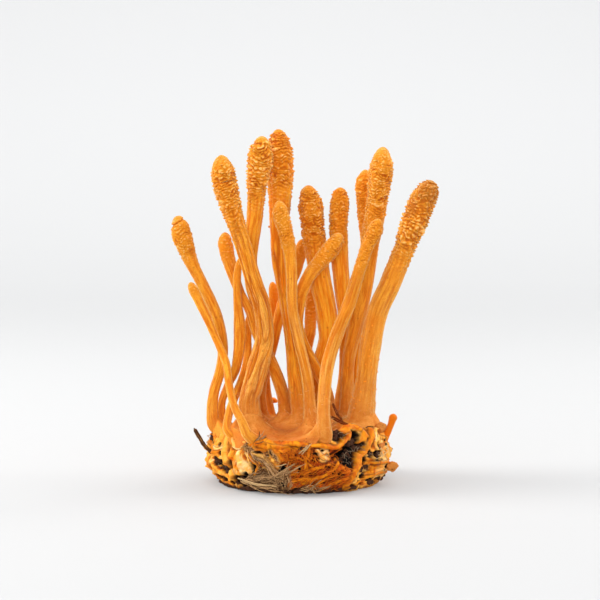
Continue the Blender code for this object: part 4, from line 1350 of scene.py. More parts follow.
# %% Fibres in areas
rng = np.random.default_rng(21)


def scatter(area, count):
    """Random places in a four-cornered area of the side, given as (angle, height) corners."""
    a, b, c, d = (np.array(p, float) for p in area)
    u, v = rng.random((2, count))
    low = np.outer((1 - u) * (1 - v), a) + np.outer(u * (1 - v), b)
    return low + np.outer(u * v, c) + np.outer((1 - u) * v, d)


def lay_fibres(name, areas, points, sides, spans, lifts, sway, blunt=0.25, curls=True, own_shades=True):
    """Tubes on the side in a table of areas. curls: each bends to one side or the other."""
    routes, widths, shades = [], [], []
    for corners, count, heading, spread, length, bend, half in areas:
        starts = scatter(corners, count)
        headings = heading + rng.normal(0, spread, count)
        lengths = length * rng.uniform(*spans, count)
        if curls:
            bends = bend * rng.choice([-1, 1], count) * rng.uniform(0.2, 1.5, count)
        else:
            bends = bend + rng.normal(0, 34, count)
        lift = rng.uniform(*lifts, count)
        routes.append(lying_routes(starts, headings, lengths, bends, points, lift, sway))
        widths.append(taper(count, points, half, blunt))
        if own_shades:
            shades.append(rng.random(count))
    widths = np.concatenate(widths)
    shades = np.concatenate(shades) if own_shades else rng.random(len(widths))
    return tubes_mesh(name, np.concatenate(routes), widths, sides, shades)


# %% Straw bundle in front
# corners, count, heading, spread of headings, length, bend, half width
STRAW_AREAS = [
    ([(229, 2.2), (240, 1.6), (250, 3.0), (238, 4.4)], 56, 36, 15, 3.6, -56, 0.06),
    ([(236, 2.6), (250, 1.8), (256, 3.2), (244, 4.2)], 40, 28, 16, 3.2, -70, 0.055),
    ([(228, 2.6), (246, 1.2), (252, 1.6), (230, 3.4)], 30, -9, 12, 5.0, 26, 0.06),
    ([(250, 3.4), (258, 3.4), (266, 5.4), (258, 5.4)], 34, 38, 12, 3.8, -24, 0.06),
    ([(254, 0.8), (264, 0.8), (265, 3.0), (255, 3.2)], 36, 78, 16, 2.8, 50, 0.055),
    ([(235, 10.2), (246, 8.6), (250, 7.0), (238, 9.2)], 34, -36, 12, 3.2, -20, 0.06),
    ([(248, 8.4), (256, 6.2), (256, 5.0), (246, 7.2)], 26, -44, 12, 2.6, -20, 0.06),
    ([(266, 1.2), (284, 0.8), (284, 1.8), (268, 2.2)], 22, 4, 20, 2.8, 30, 0.08),
    ([(236, 9.8), (238, 10.4), (243, 12.2), (241, 12.0)], 14, 32, 10, 2.6, 20, 0.08),
]


straw_bundle = lay_fibres(
    "straw_bundle", STRAW_AREAS, 13, 5, (0.6, 1.3), (-0.15, 0.40), 0.09, curls=False
)
print("straw faces:", len(straw_bundle.data.polygons))

# %% Frayed threads
# corners, count, heading, spread of headings, length, bend, half width
THREAD_AREAS = [
    ([(262, 1.2), (300, 0.8), (298, 6.0), (264, 5.4)], 130, 30, 22, 2.4, 40, 0.045),
    ([(262, 5.0), (298, 5.4), (292, 9.6), (262, 9.4)], 110, -30, 40, 1.9, 50, 0.042),
    ([(258, 9.0), (280, 9.0), (278, 11.0), (260, 10.8)], 70, -70, 30, 1.7, 40, 0.05),
    ([(258, 6.6), (268, 6.4), (268, 9.6), (260, 9.6)], 70, 60, 70, 1.3, 150, 0.045),
    ([(26, 1.0), (90, 1.0), (90, 10.0), (26, 10.0)], 110, -60, 70, 2.2, 60, 0.05),
    ([(90, 1.0), (154, 1.0), (154, 10.0), (90, 10.0)], 110, -60, 70, 2.2, 60, 0.05),
]


orange_threads = lay_fibres(
    "orange_threads", THREAD_AREAS, 10, 4, (0.5, 1.4), (0.0, 0.45), 0.08, blunt=0.1
)
print("thread faces:", len(orange_threads.data.polygons))

# %% Sticks, hairs and straws of the hidden sides
# heading and bend in degrees, length and half width in mm
STICKS = [
    (255, 4.2, 36, 5.6, -8, 0.15),
    (263, 5.2, 28, 3.6, 8, 0.13),
    (257, 6.8, 12, 2.2, 10, 0.11),
    (270, 9.6, 44, 2.6, 0, 0.13),
    (271.5, 9.5, 46, 2.8, 6, 0.11),
    (272.5, 10.2, 40, 2.4, -8, 0.10),
    (229, 3.2, -8, 9.6, 6, 0.15),
    (232, 2.6, -6, 7.4, 10, 0.12),
    (322, 7.2, 38, 2.4, 16, 0.06),
    (326, 9.4, -30, 2.6, 20, 0.07),
    (333, 8.8, 20, 2.4, -14, 0.06),
    (338, 7.0, 52, 2.6, 12, 0.10),
]
HAIR_AREAS = [
    ([(303, 8.6), (318, 8.8), (316, 11.0), (306, 10.0)], 18, 10, 70, 1.5, 130, 0.035),
    ([(296, 12.2), (304, 12.0), (303, 13.6), (297, 13.4)], 8, -30, 50, 1.2, 110, 0.035),
    ([(298, 6.6), (306, 6.8), (305, 9.2), (298, 8.8)], 18, 20, 60, 1.3, 120, 0.035),
    ([(205, 5.2), (222, 3.8), (221, 5.4), (206, 6.6)], 14, -30, 60, 1.2, 110, 0.035),
    ([(318, 6.0), (336, 5.8), (334, 9.8), (319, 9.4)], 24, -30, 70, 1.4, 120, 0.035),
    ([(309, 3.6), (324, 4.4), (322, 5.6), (311, 5.6)], 16, 20, 50, 1.4, 90, 0.04),
    ([(26, 1.0), (154, 1.0), (154, 10.5), (26, 10.5)], 60, 0, 80, 2.6, 70, 0.05),
]


HIDDEN_STICKS = 46
STICK_POINTS = 14


def build_sticks():
    count, hidden = len(STICKS), HIDDEN_STICKS
    table = np.array(STICKS)
    lift = np.full(count, 0.55)
    routes = lying_routes(table[:, :2], *table[:, 2:5].T, STICK_POINTS, lift, 0.02)
    widths = np.repeat(table[:, 5:6], STICK_POINTS, axis=1)
    starts = scatter([(12, 1.5), (172, 1.5), (172, 10.0), (12, 10.0)], hidden)
    lift = rng.uniform(0.2, 0.7, hidden)
    headings, lengths = rng.uniform(-60, 60, hidden), rng.uniform(2.5, 7.0, hidden)
    more = lying_routes(starts, headings, lengths, rng.normal(0, 12, hidden), STICK_POINTS, lift, 0.02)
    widths = np.concatenate([widths, taper(hidden, STICK_POINTS, 0.12, 0.6)])
    shades = np.concatenate([np.linspace(0.3, 1, count), rng.random(hidden)])
    return tubes_mesh("straw_sticks", np.concatenate([routes, more]), widths, 8, shades)


straw_sticks = build_sticks()
grey_hairs = lay_fibres(
    "grey_hairs", HAIR_AREAS, 10, 4, (0.5, 1.4), (-1.0, 0.2), 0.05, blunt=0.2, own_shades=False
)
print("stick and hair faces:", len(straw_sticks.data.polygons), len(grey_hairs.data.polygons))

# %% [markdown]
# ## Crumbs and lumps
# Dark crumbs of the growing medium sit in the pits and along the foot. Each is a small ball pushed
# out of shape by noise. The two brown lumps on the right side are made the same way, only finer.


# %% Lumps
def lump_grid(rows, columns, size, middle, seed, rough):
    polar = np.linspace(0.06, math.pi - 0.06, rows)[:, None]
    turn = np.linspace(0, 2 * math.pi, columns, endpoint=False)[None]
    level = np.sin(polar)
    ball = np.stack([level * np.cos(turn), level * np.sin(turn), -np.cos(polar) + 0 * turn], axis=-1)
    flat = ball.reshape(-1, 3)
    spot = flat * np.array(size) * 0.5 + seed * 3.7
    broad = soft_noise(spot, 0.9 * max(size) / 2.5, seed)
    fine = ridge_noise(spot, 0.35 * max(size) / 2.5, seed + 1)
    push = 1 + rough * (0.7 * broad + 0.5 * fine - 0.25)
    shaped = flat * push[:, None] * np.array(size) / 2 + np.array(middle)
    return shaped.reshape(rows, columns, 3), push


def join_lumps(name, lumps):
    verts, quads, triangles, relief, start = [], [], [], [], 0
    for grid, push in lumps:
        rows, columns = grid.shape[:2]
        verts.append(close_grid(grid, grid[0].mean(axis=0), grid[-1].mean(axis=0)))
        q, t = grid_faces(rows, columns, start)
        quads.append(q)
        triangles.append(t)
        relief.append(np.concatenate([push, [push[0], push[-1]]]))
        start += rows * columns + 2
    verts, quads, triangles, relief = map(np.concatenate, (verts, quads, triangles, relief))
    thing = make_mesh(name, verts, quads, triangles, {"relief": relief})
    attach(thing, BODY)
    return thing


# corners of the area, count, size in mm, how far it stands off the side in mm
CRUMB_AREAS = [
    ([(296, 12.2), (306, 12.2), (304, 13.8), (297, 13.6)], 9, 1.0, -1.6),
    ([(303, 9.2), (316, 9.2), (315, 11.6), (304, 11.4)], 12, 1.1, -2.2),
    ([(298, 6.8), (306, 6.8), (305, 9.2), (299, 9.0)], 10, 0.8, -1.3),
    ([(205, 5.6), (209, 5.6), (208, 6.8), (204, 6.8)], 8, 0.6, -0.9),
    ([(210, 4.0), (218, 3.6), (218, 5.2), (211, 5.4)], 14, 0.7, -1.2),
    ([(222, 1.4), (233, 1.4), (233, 3.2), (223, 3.2)], 16, 0.6, -0.9),
    ([(312, 4.4), (322, 5.2), (321, 6.2), (312, 5.6)], 12, 0.5, -0.1),
    ([(318, 6.6), (336, 7.0), (334, 9.0), (319, 9.0)], 14, 0.7, -1.2),
    ([(236, 0.3), (300, 0.3), (300, 0.7), (236, 0.7)], 34, 0.8, -0.4),
    ([(190, 0.5), (236, 0.3), (236, 0.9), (190, 1.2)], 24, 0.8, -0.4),
    ([(300, 0.4), (350, 0.8), (350, 2.4), (300, 1.0)], 20, 0.9, -0.6),
    ([(184, 10.6), (192, 9.6), (194, 11.0), (185, 12.4)], 8, 0.6, 0.1),
    ([(268, 9.8), (276, 10.6), (277, 11.6), (270, 10.8)], 12, 0.35, 0.2),
    ([(10, 0.4), (175, 0.4), (175, 10.0), (10, 10.0)], 90, 0.8, -0.5),
]


def build_crumbs():
    lumps = []
    for number, (corners, count, size, lift) in enumerate(CRUMB_AREAS):
        spots = scatter(corners, count)
        places, _ = side_place(spots[:, 0], spots[:, 1], lift, fine=False)
        for k, place in enumerate(places):
            shape = size * rng.uniform(0.5, 1.4) * rng.uniform(0.7, 1.3, 3)
            place[2] = max(place[2], shape[2] * 0.75)
            lumps.append(lump_grid(7, 8, shape, place, number * 131 + k, 0.5))
    return join_lumps("dark_crumbs", lumps)


dark_crumbs = build_crumbs()
print("crumb faces:", len(dark_crumbs.data.polygons))

# %% Grains and fuzz on the stems
# Orange grains stick to the low stem of the far right club. The feet carry a fine pale fuzz.
GRAIN_COUNT = 130
GRAIN_SIZE = 0.34
GRAINS_LOW, GRAINS_HIGH = 16.0, 37.0
FUZZY = [
    "club_" + place for place in ("far_right", "main_left", "front_right", "front_middle", "tall_middle")
]
FUZZ_EACH = 60
FUZZ_LOW, FUZZ_HIGH = 13.0, 22.0


def spots_on(name, low, high, count):
    """Random places between two heights on a club, in mm, and the ways out of it."""
    mesh = clubs[name].data
    places = np.array([v.co for v in mesh.vertices]) / MM
    ways = np.array([v.normal for v in mesh.vertices])
    fits = np.flatnonzero((places[:, 2] > low) & (places[:, 2] < high))
    chosen = rng.choice(fits, count, replace=False)
    return places[chosen], ways[chosen]


def build_grains():
    places, _ = spots_on("club_far_right", GRAINS_LOW, GRAINS_HIGH, GRAIN_COUNT)
    lumps = []
    for k, place in enumerate(places):
        size = GRAIN_SIZE * rng.uniform(0.5, 1.3) * rng.uniform(0.8, 1.2, 3)
        lumps.append(lump_grid(6, 7, size, place, 900 + k, 0.4))
    return join_lumps("stem_grains", lumps)


def build_fuzz():
    routes, widths = [], []
    share = np.linspace(0, 1, 5)[None, :, None]
    for name in FUZZY:
        places, ways = spots_on(name, FUZZ_LOW, FUZZ_HIGH, FUZZ_EACH)
        first = ways + rng.normal(0, 0.7, ways.shape)
        second = rng.normal(0, 0.5, ways.shape)
        length = rng.uniform(0.3, 0.9, (FUZZ_EACH, 1, 1))
        routes.append(places[:, None] + length * (first[:, None] * share + second[:, None] * share ** 2))
        widths.append(np.repeat(rng.uniform(0.018, 0.035, (FUZZ_EACH, 1)), 5, axis=1))
    routes, widths = np.concatenate(routes), np.concatenate(widths)
    return tubes_mesh("foot_fuzz", routes, widths, 3, rng.random(len(widths)))


stem_grains = build_grains()
foot_fuzz = build_fuzz()
print("grain and fuzz faces:", len(stem_grains.data.polygons), len(foot_fuzz.data.polygons))

# %% Brown lumps on the right and dark twigs
BROWN_LUMPS = {
    "knob_right": ((21.2, -5.6, 4.4), (2.6, 2.2, 2.4)),
    "lobe_right": ((18.6, -3.6, 13.2), (2.4, 1.8, 2.2)),
}
TWIGS = {
    "straw_upper": ([(7.8, 2.2, 18.0), (8.8, 0.2, 15.8), (9.9, -2.2, 14.6)], 0.6),
    "straw_lower": ([(7.4, 1.4, 14.9), (9.6, -1.9, 14.1), (12.2, -5.0, 13.4)], 0.75),
    "twig_left": ([(-24.2, -1.6, 12.6), (-23.0, -1.9, 10.6), (-21.7, -2.4, 8.6), (-19.9, -2.5, 6.8)], 0.85),
}


def build_brown_lump(name, seed):
    middle, size = BROWN_LUMPS[name]
    thing = join_lumps(name + "_skin", [lump_grid(54, 72, size, middle, seed, 0.45)])
    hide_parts(name)
    return thing


TWIG_ROWS = 90
TWIG_COLUMNS = 36


def build_twig(name, seed):
    """A dry stalk: a tube with deep lengthwise ribs and a torn end."""
    points, width = TWIGS[name]
    line = smooth_route([(*point, width) for point in points])
    along = lengths_along(line)
    rings = sample(line, along, np.linspace(0, along[-1], TWIG_ROWS))
    across, over = frames_along(rings[:, :3])
    turn = np.linspace(0, 2 * math.pi, TWIG_COLUMNS, endpoint=False)
    share = np.linspace(0, 1, TWIG_ROWS)[:, None]
    ribs = 0.20 * np.cos(5 * turn + 3 * share + seed) + 0.12 * np.cos(9 * turn - 4 * share)
    spot = np.broadcast_arrays(np.cos(turn) * 2, np.sin(turn) * 2, share * along[-1])
    spot = np.stack(spot, axis=-1).reshape(-1, 3)
    rough = soft_noise(spot + seed, (0.8, 0.8, 1.0), seed).reshape(TWIG_ROWS, TWIG_COLUMNS) * 0.22
    knot = 0.35 * np.exp(-((share - 0.55) / 0.05) ** 2)
    ends = np.clip(np.minimum(share, 1 - share) * 14, 0.35, 1)
    radius = width / 2 * (0.85 + ribs + rough + knot) * ends
    out = across[:, None] * np.cos(turn)[:, None] + over[:, None] * np.sin(turn)[:, None]
    grid = rings[:, None, :3] + out * radius[..., None]
    quads, triangles = grid_faces(TWIG_ROWS, TWIG_COLUMNS)
    verts = close_grid(grid, rings[0, :3], rings[-1, :3])
    relief = (ribs + rough).ravel() + 0.5
    values = {"relief": np.concatenate([relief, relief[:1], relief[-1:]])}
    thing = make_mesh(name + "_skin", verts, quads, triangles, values)
    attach(thing, BODY)
    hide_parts(name)
    return thing


# middle and size of small bits that stick to a club: at the tip of the tallest, and at its neck
BITS = [((-4.75, 4.2, 80.95), (0.7, 0.6, 0.7)), ((-6.85, 3.4, 58.8), (0.75, 0.6, 0.5))]
bit_grids = [lump_grid(12, 16, size, middle, 71 + k, 0.5) for k, (middle, size) in enumerate(BITS)]
flesh_bits = join_lumps("flesh_bits", bit_grids)
brown_lumps = [build_brown_lump(name, 5 + k) for k, name in enumerate(BROWN_LUMPS)]
twigs = [build_twig(name, 3 + k) for k, name in enumerate(TWIGS)]
print("lumps and twigs:", [thing.name for thing in brown_lumps + twigs])

# %% [markdown]
# ## Materials
# The flesh of a club is matt and a little translucent, so light that enters it comes out deeper
# orange: that is subsurface scattering. What changes over the surface, the colour, the roughness
# and the fine grain, comes from noise and from the values stored on the mesh. Two effects are used
# by more than one material, so each is a group: fleck gives scattered specks, and fibre gives fine
# lengthwise streaks.


# %% Node helpers
VECTOR, VALUE = "NodeSocketVector", "NodeSocketFloat"
SHINE = 0.12
SCATTER_COLOUR = (1.0, 0.35, 0.08)
SHEEN_ROUGHNESS = 0.3
SHEEN_TINT = (1.0, 0.76, 0.34, 1)


def new_group(name, inputs, outputs):
    tree = bpy.data.node_groups.new(name, "ShaderNodeTree")
    for label, kind, value in inputs:
        socket = tree.interface.new_socket(label, in_out="INPUT", socket_type=kind)
        if value is not None:
            socket.default_value = value
    for label, kind in outputs:
        tree.interface.new_socket(label, in_out="OUTPUT", socket_type=kind)
    return tree, tree.nodes.new("NodeGroupInput"), tree.nodes.new("NodeGroupOutput")


def feed(tree, socket, value):
    """Link a socket to an output, or give it a plain value."""
    if isinstance(value, bpy.types.NodeSocket):
        tree.links.new(value, socket)
    else:
        socket.default_value = value


def add_node(tree, kind, inputs=None, **options):
    node = tree.nodes.new(kind)
    for key, value in options.items():
        setattr(node, key, value)
    for key, value in (inputs or {}).items():
        feed(tree, node.inputs[key], value)
    return node


def maths(tree, operation, a, b=0.0, c=0.0):
    return add_node(tree, "ShaderNodeMath", {0: a, 1: b, 2: c}, operation=operation).outputs[0]


def times(tree, a, b):
    return maths(tree, "MULTIPLY", a, b)


def mix(tree, share, a, b):
    node = add_node(tree, "ShaderNodeMix", data_type="RGBA")
    for key, value in (("Factor_Float", share), ("A_Color", a), ("B_Color", b)):
        feed(tree, next(s for s in node.inputs if s.identifier == key), value)
    return next(s for s in node.outputs if s.identifier == "Result_Color")


def remap(tree, value, low, high, to_low=0.0, to_high=1.0):
    inputs = {"Value": value, "From Min": low, "From Max": high, "To Min": to_low, "To Max": to_high}
    return add_node(tree, "ShaderNodeMapRange", inputs, interpolation_type="SMOOTHSTEP").outputs["Result"]


def stored(tree, name, output="Fac"):
    return add_node(tree, "ShaderNodeAttribute", attribute_name=name).outputs[output]


def spots_in_mm(tree):
    """The object's own coordinates in millimetres."""
    place = add_node(tree, "ShaderNodeTexCoord").outputs["Object"]
    inputs = {0: place, 1: (1000, 1000, 1000)}
    return add_node(tree, "ShaderNodeVectorMath", inputs, operation="MULTIPLY").outputs[0]


def noise_of(tree, where, scale, detail=2.0, distortion=0.0):
    inputs = {"Vector": where, "Scale": scale, "Detail": detail, "Distortion": distortion}
    return add_node(tree, "ShaderNodeTexNoise", inputs).outputs[0]


def colour(r, g, b):
    """A linear colour from the 0 to 255 values that a picture shows."""
    parts = [(v / 255 / 12.92) if v <= 10 else ((v / 255 + 0.055) / 1.055) ** 2.4 for v in (r, g, b)]
    return (*parts, 1.0)


print("middle grey as a linear colour:", colour(128, 128, 128))


# %% Groups for specks and fibres
def make_fleck_group():
    """Mask of scattered specks of one size."""
    inputs = [("Vector", VECTOR, None), ("Scale", VALUE, 3.0), ("Amount", VALUE, 0.3)]
    tree, start, end = new_group("fleck", inputs, [("Mask", VALUE)])
    inputs = {"Vector": start.outputs["Vector"], "Scale": start.outputs["Scale"]}
    cells = add_node(tree, "ShaderNodeTexVoronoi", inputs)
    chosen = add_node(tree, "ShaderNodeSeparateColor", {"Color": cells.outputs["Color"]})
    near = remap(tree, cells.outputs["Distance"], 0.34, 0.16)
    some = maths(tree, "LESS_THAN", chosen.outputs["Red"], start.outputs["Amount"])
    tree.links.new(times(tree, near, some), end.inputs["Mask"])
    return tree


def make_fibre_group():
    """Fine streaks that run along the last axis of the vector."""
    inputs = [("Vector", VECTOR, None), ("Across", VALUE, 2.2), ("Along", VALUE, 0.20)]
    tree, start, end = new_group("fibre", inputs, [("Streaks", VALUE), ("Height", VALUE)])
    across, along = start.outputs["Across"], start.outputs["Along"]
    size = add_node(tree, "ShaderNodeCombineXYZ", {"X": across, "Y": across, "Z": along})
    inputs = {0: start.outputs["Vector"], 1: size.outputs[0]}
    stretched = add_node(tree, "ShaderNodeVectorMath", inputs, operation="MULTIPLY")
    broad = noise_of(tree, stretched.outputs[0], 1.0, 3.0, 0.4)
    fine = noise_of(tree, stretched.outputs[0], 3.2, 2.0)
    tree.links.new(remap(tree, broad, 0.38, 0.62), end.inputs["Streaks"])
    tree.links.new(maths(tree, "MULTIPLY_ADD", fine, 0.5, broad), end.inputs["Height"])
    return tree


FLECK = make_fleck_group()
FIBRE = make_fibre_group()
print("groups:", [group.name for group in (FLECK, FIBRE)])


def use_group(tree, group, **inputs):
    return add_node(tree, "ShaderNodeGroup", inputs, node_tree=group)


def new_material(name, roughness, scatter=0.0, scatter_depth=1.0, sheen=0.0):
    material = bpy.data.materials.new(name)
    material.use_nodes = True
    tree = material.node_tree
    shader = tree.nodes["Principled BSDF"]
    shader.inputs["Roughness"].default_value = roughness
    shader.inputs["Specular IOR Level"].default_value = SHINE
    shader.inputs["Subsurface Weight"].default_value = scatter
    shader.inputs["Subsurface Radius"].default_value = SCATTER_COLOUR
    shader.inputs["Subsurface Scale"].default_value = scatter_depth * MM
    shader.inputs["Sheen Weight"].default_value = sheen
    shader.inputs["Sheen Roughness"].default_value = SHEEN_ROUGHNESS
    shader.inputs["Sheen Tint"].default_value = SHEEN_TINT
    return material, tree, shader


def add_bump(tree, shader, height, strength, distance):
    inputs = {"Strength": strength, "Distance": distance * MM, "Height": height}
    bump = add_node(tree, "ShaderNodeBump", inputs)
    tree.links.new(bump.outputs["Normal"], shader.inputs["Normal"])


# %% Club flesh
FLESH_PALE = colour(250, 176, 54)
FLESH = colour(228, 144, 32)
FLESH_DEEP = colour(222, 112, 2)
FLESH_PIT_SHADE = colour(170, 74, 2)
POWDER = colour(222, 150, 68)


def powder_colour(tree, spot):
    """Powder that lies on the top of the cake and on the feet."""
    patch = noise_of(tree, spot, 0.5, 4.0, 0.8)
    grain = noise_of(tree, spot, 3.2, 4.0)
    powder = mix(tree, remap(tree, patch, 0.30, 0.70), colour(204, 122, 42), POWDER)
    return mix(tree, remap(tree, grain, 0.46, 0.70, 0.0, 0.5), powder, colour(192, 102, 30))


def club_material(name, tone, stem_painted_light, low, powder, stains_and_highlights):
    """Matt orange flesh. Tone and the stem's painted light run from -1, deep and red, to 1, pale."""
    material, tree, shader = new_material(name, 0.62, 0.12, 0.30, 1.0)
    skin = stored(tree, "skin", "Vector")
    relief = stored(tree, "relief")
    head = stored(tree, "head")
    height = stored(tree, "height")
    fibre = use_group(tree, FIBRE, Vector=skin)
    drift = noise_of(tree, skin, 0.16, 2.0)
    grain = noise_of(tree, skin, 3.4, 3.0)
    dust = noise_of(tree, skin, 1.1, 3.0)
    streaks = maths(tree, "MULTIPLY_ADD", fibre.outputs["Streaks"], 0.8, 0.12)
    stem = mix(tree, streaks, colour(206, 102, 4), FLESH_PALE)
    stem = mix(tree, remap(tree, dust, 0.40, 0.62, 0.0, 0.25), stem, colour(240, 156, 38))
    # Painted shade: stems in front are deepened to offset the direct light on them.
    if stem_painted_light < 0:
        painted_shade_stem = mix(tree, streaks, colour(188, 90, 2), colour(224, 150, 44))
        stem = mix(tree, -stem_painted_light, stem, painted_shade_stem)
    # The low stem is paler, with broad pale streaks: partly its own paler colour, partly painted light that
    # offsets the shade on the low stem.
    if low > 0:
        broad = use_group(tree, FIBRE, Vector=skin, Across=0.9, Along=0.05).outputs["Streaks"]
        down = remap(tree, height, 44.0, 18.0, 0.0, low)
        paler = mix(tree, broad, colour(206, 108, 10), colour(255, 208, 112))
        stem = mix(tree, times(tree, down, 0.6), stem, paler)
    # Painted shade in the pits between the knobs and in the cap's crease, and painted highlights on the
    # knob peaks and fold crests.
    cap = mix(tree, remap(tree, relief, -0.05, 0.42), FLESH_PIT_SHADE, FLESH)
    cap = mix(tree, remap(tree, relief, 0.45, 0.95, 0.0, 0.9), cap, colour(255, 204, 120))
    base = mix(tree, head, stem, cap)
    base = mix(tree, remap(tree, drift, 0.38, 0.68, 0.0, 0.4), base, colour(236, 136, 14))
    base = mix(tree, remap(tree, grain, 0.46, 0.68, 0.0, 0.40), base, colour(210, 106, 6))
    # Painted light: stems at the back are made paler to offset the shade on them.
    if stem_painted_light > 0:
        off_head = maths(tree, "MULTIPLY_ADD", head, -stem_painted_light, stem_painted_light)
        painted_light_stem = mix(tree, streaks, colour(240, 126, 6), colour(255, 184, 50))
        base = mix(tree, off_head, base, painted_light_stem)
    dusted = remap(tree, height, 5.0, 17.0, powder, 0.0)
    base = mix(tree, dusted, base, powder_colour(tree, spots_in_mm(tree)))
    # Painted shade in the grooves of the stem.
    base = mix(tree, times(tree, stored(tree, "groove"), 0.80), base, colour(180, 84, 4))
    speck = use_group(tree, FLECK, Vector=skin, Scale=1.0, Amount=0.08)
    base = mix(tree, times(tree, speck.outputs["Mask"], 0.4), base, colour(156, 72, 16))
    # Brown stains on the head, heavier in the pits, where they also paint shade, and a brown tip.
    if stains_and_highlights > 0:
        stain = remap(tree, noise_of(tree, skin, 0.32, 3.0, 0.6), 0.52, 0.62, 0.0, 0.6)
        stain = times(tree, times(tree, stain, head), remap(tree, relief, 0.9, 0.4, 0.3, 1.0))
        base = mix(tree, stain, base, colour(164, 84, 10))
        # Painted highlights on the knob peaks.
        knobs = times(tree, remap(tree, relief, 0.4, 1.0, 0.0, 0.22), head)
        base = mix(tree, knobs, base, colour(255, 206, 120))
        tip = remap(tree, height, 54.0, 60.5, 0.0, 0.7)
        tip = times(tree, tip, remap(tree, drift, 0.3, 0.5, 0.3, 1.0))
        base = mix(tree, tip, base, colour(176, 98, 24))
    if tone < 0:
        base = mix(tree, -tone, base, FLESH_DEEP)
    elif tone > 0:
        base = mix(tree, tone, base, colour(250, 186, 86))
    tree.links.new(base, shader.inputs["Base Color"])
    tree.links.new(remap(tree, grain, 0.3, 0.7, 0.58, 0.80), shader.inputs["Roughness"])
    add_bump(tree, shader, maths(tree, "MULTIPLY_ADD", fibre.outputs["Height"], 0.9, grain), 0.9, 0.26)
    return material


fleshes = {}
for name, club in clubs.items():
    setting = {**PLAIN, **SETTINGS[name]}
    key = tuple(setting[kind] for kind in ("tone", "stem", "low", "powder", "stains_and_highlights"))
    if key not in fleshes:
        fleshes[key] = club_material("flesh_%d" % (len(fleshes) + 1), *key)
    club.data.materials.append(fleshes[key])
print("flesh materials:", len(fleshes))


# %% [markdown]
# ## Cake finishes
# The side's colours come from its masks. Membranes are orange with cream edges, partly painted
# highlight. The frayed part is dark red brown in its depths and bright orange on its crests, and
# straw is taupe, dark in its depths and light on its crests: painted shade and painted highlight.
# Pits are dark matter with painted shade that makes them nearly black. Painted shade also lies in
# hollows, beside the cords and near the floor, and painted highlights on the peaks. The top is
# powder: peach, with painted shade in its low places between the feet, and small brown specks.


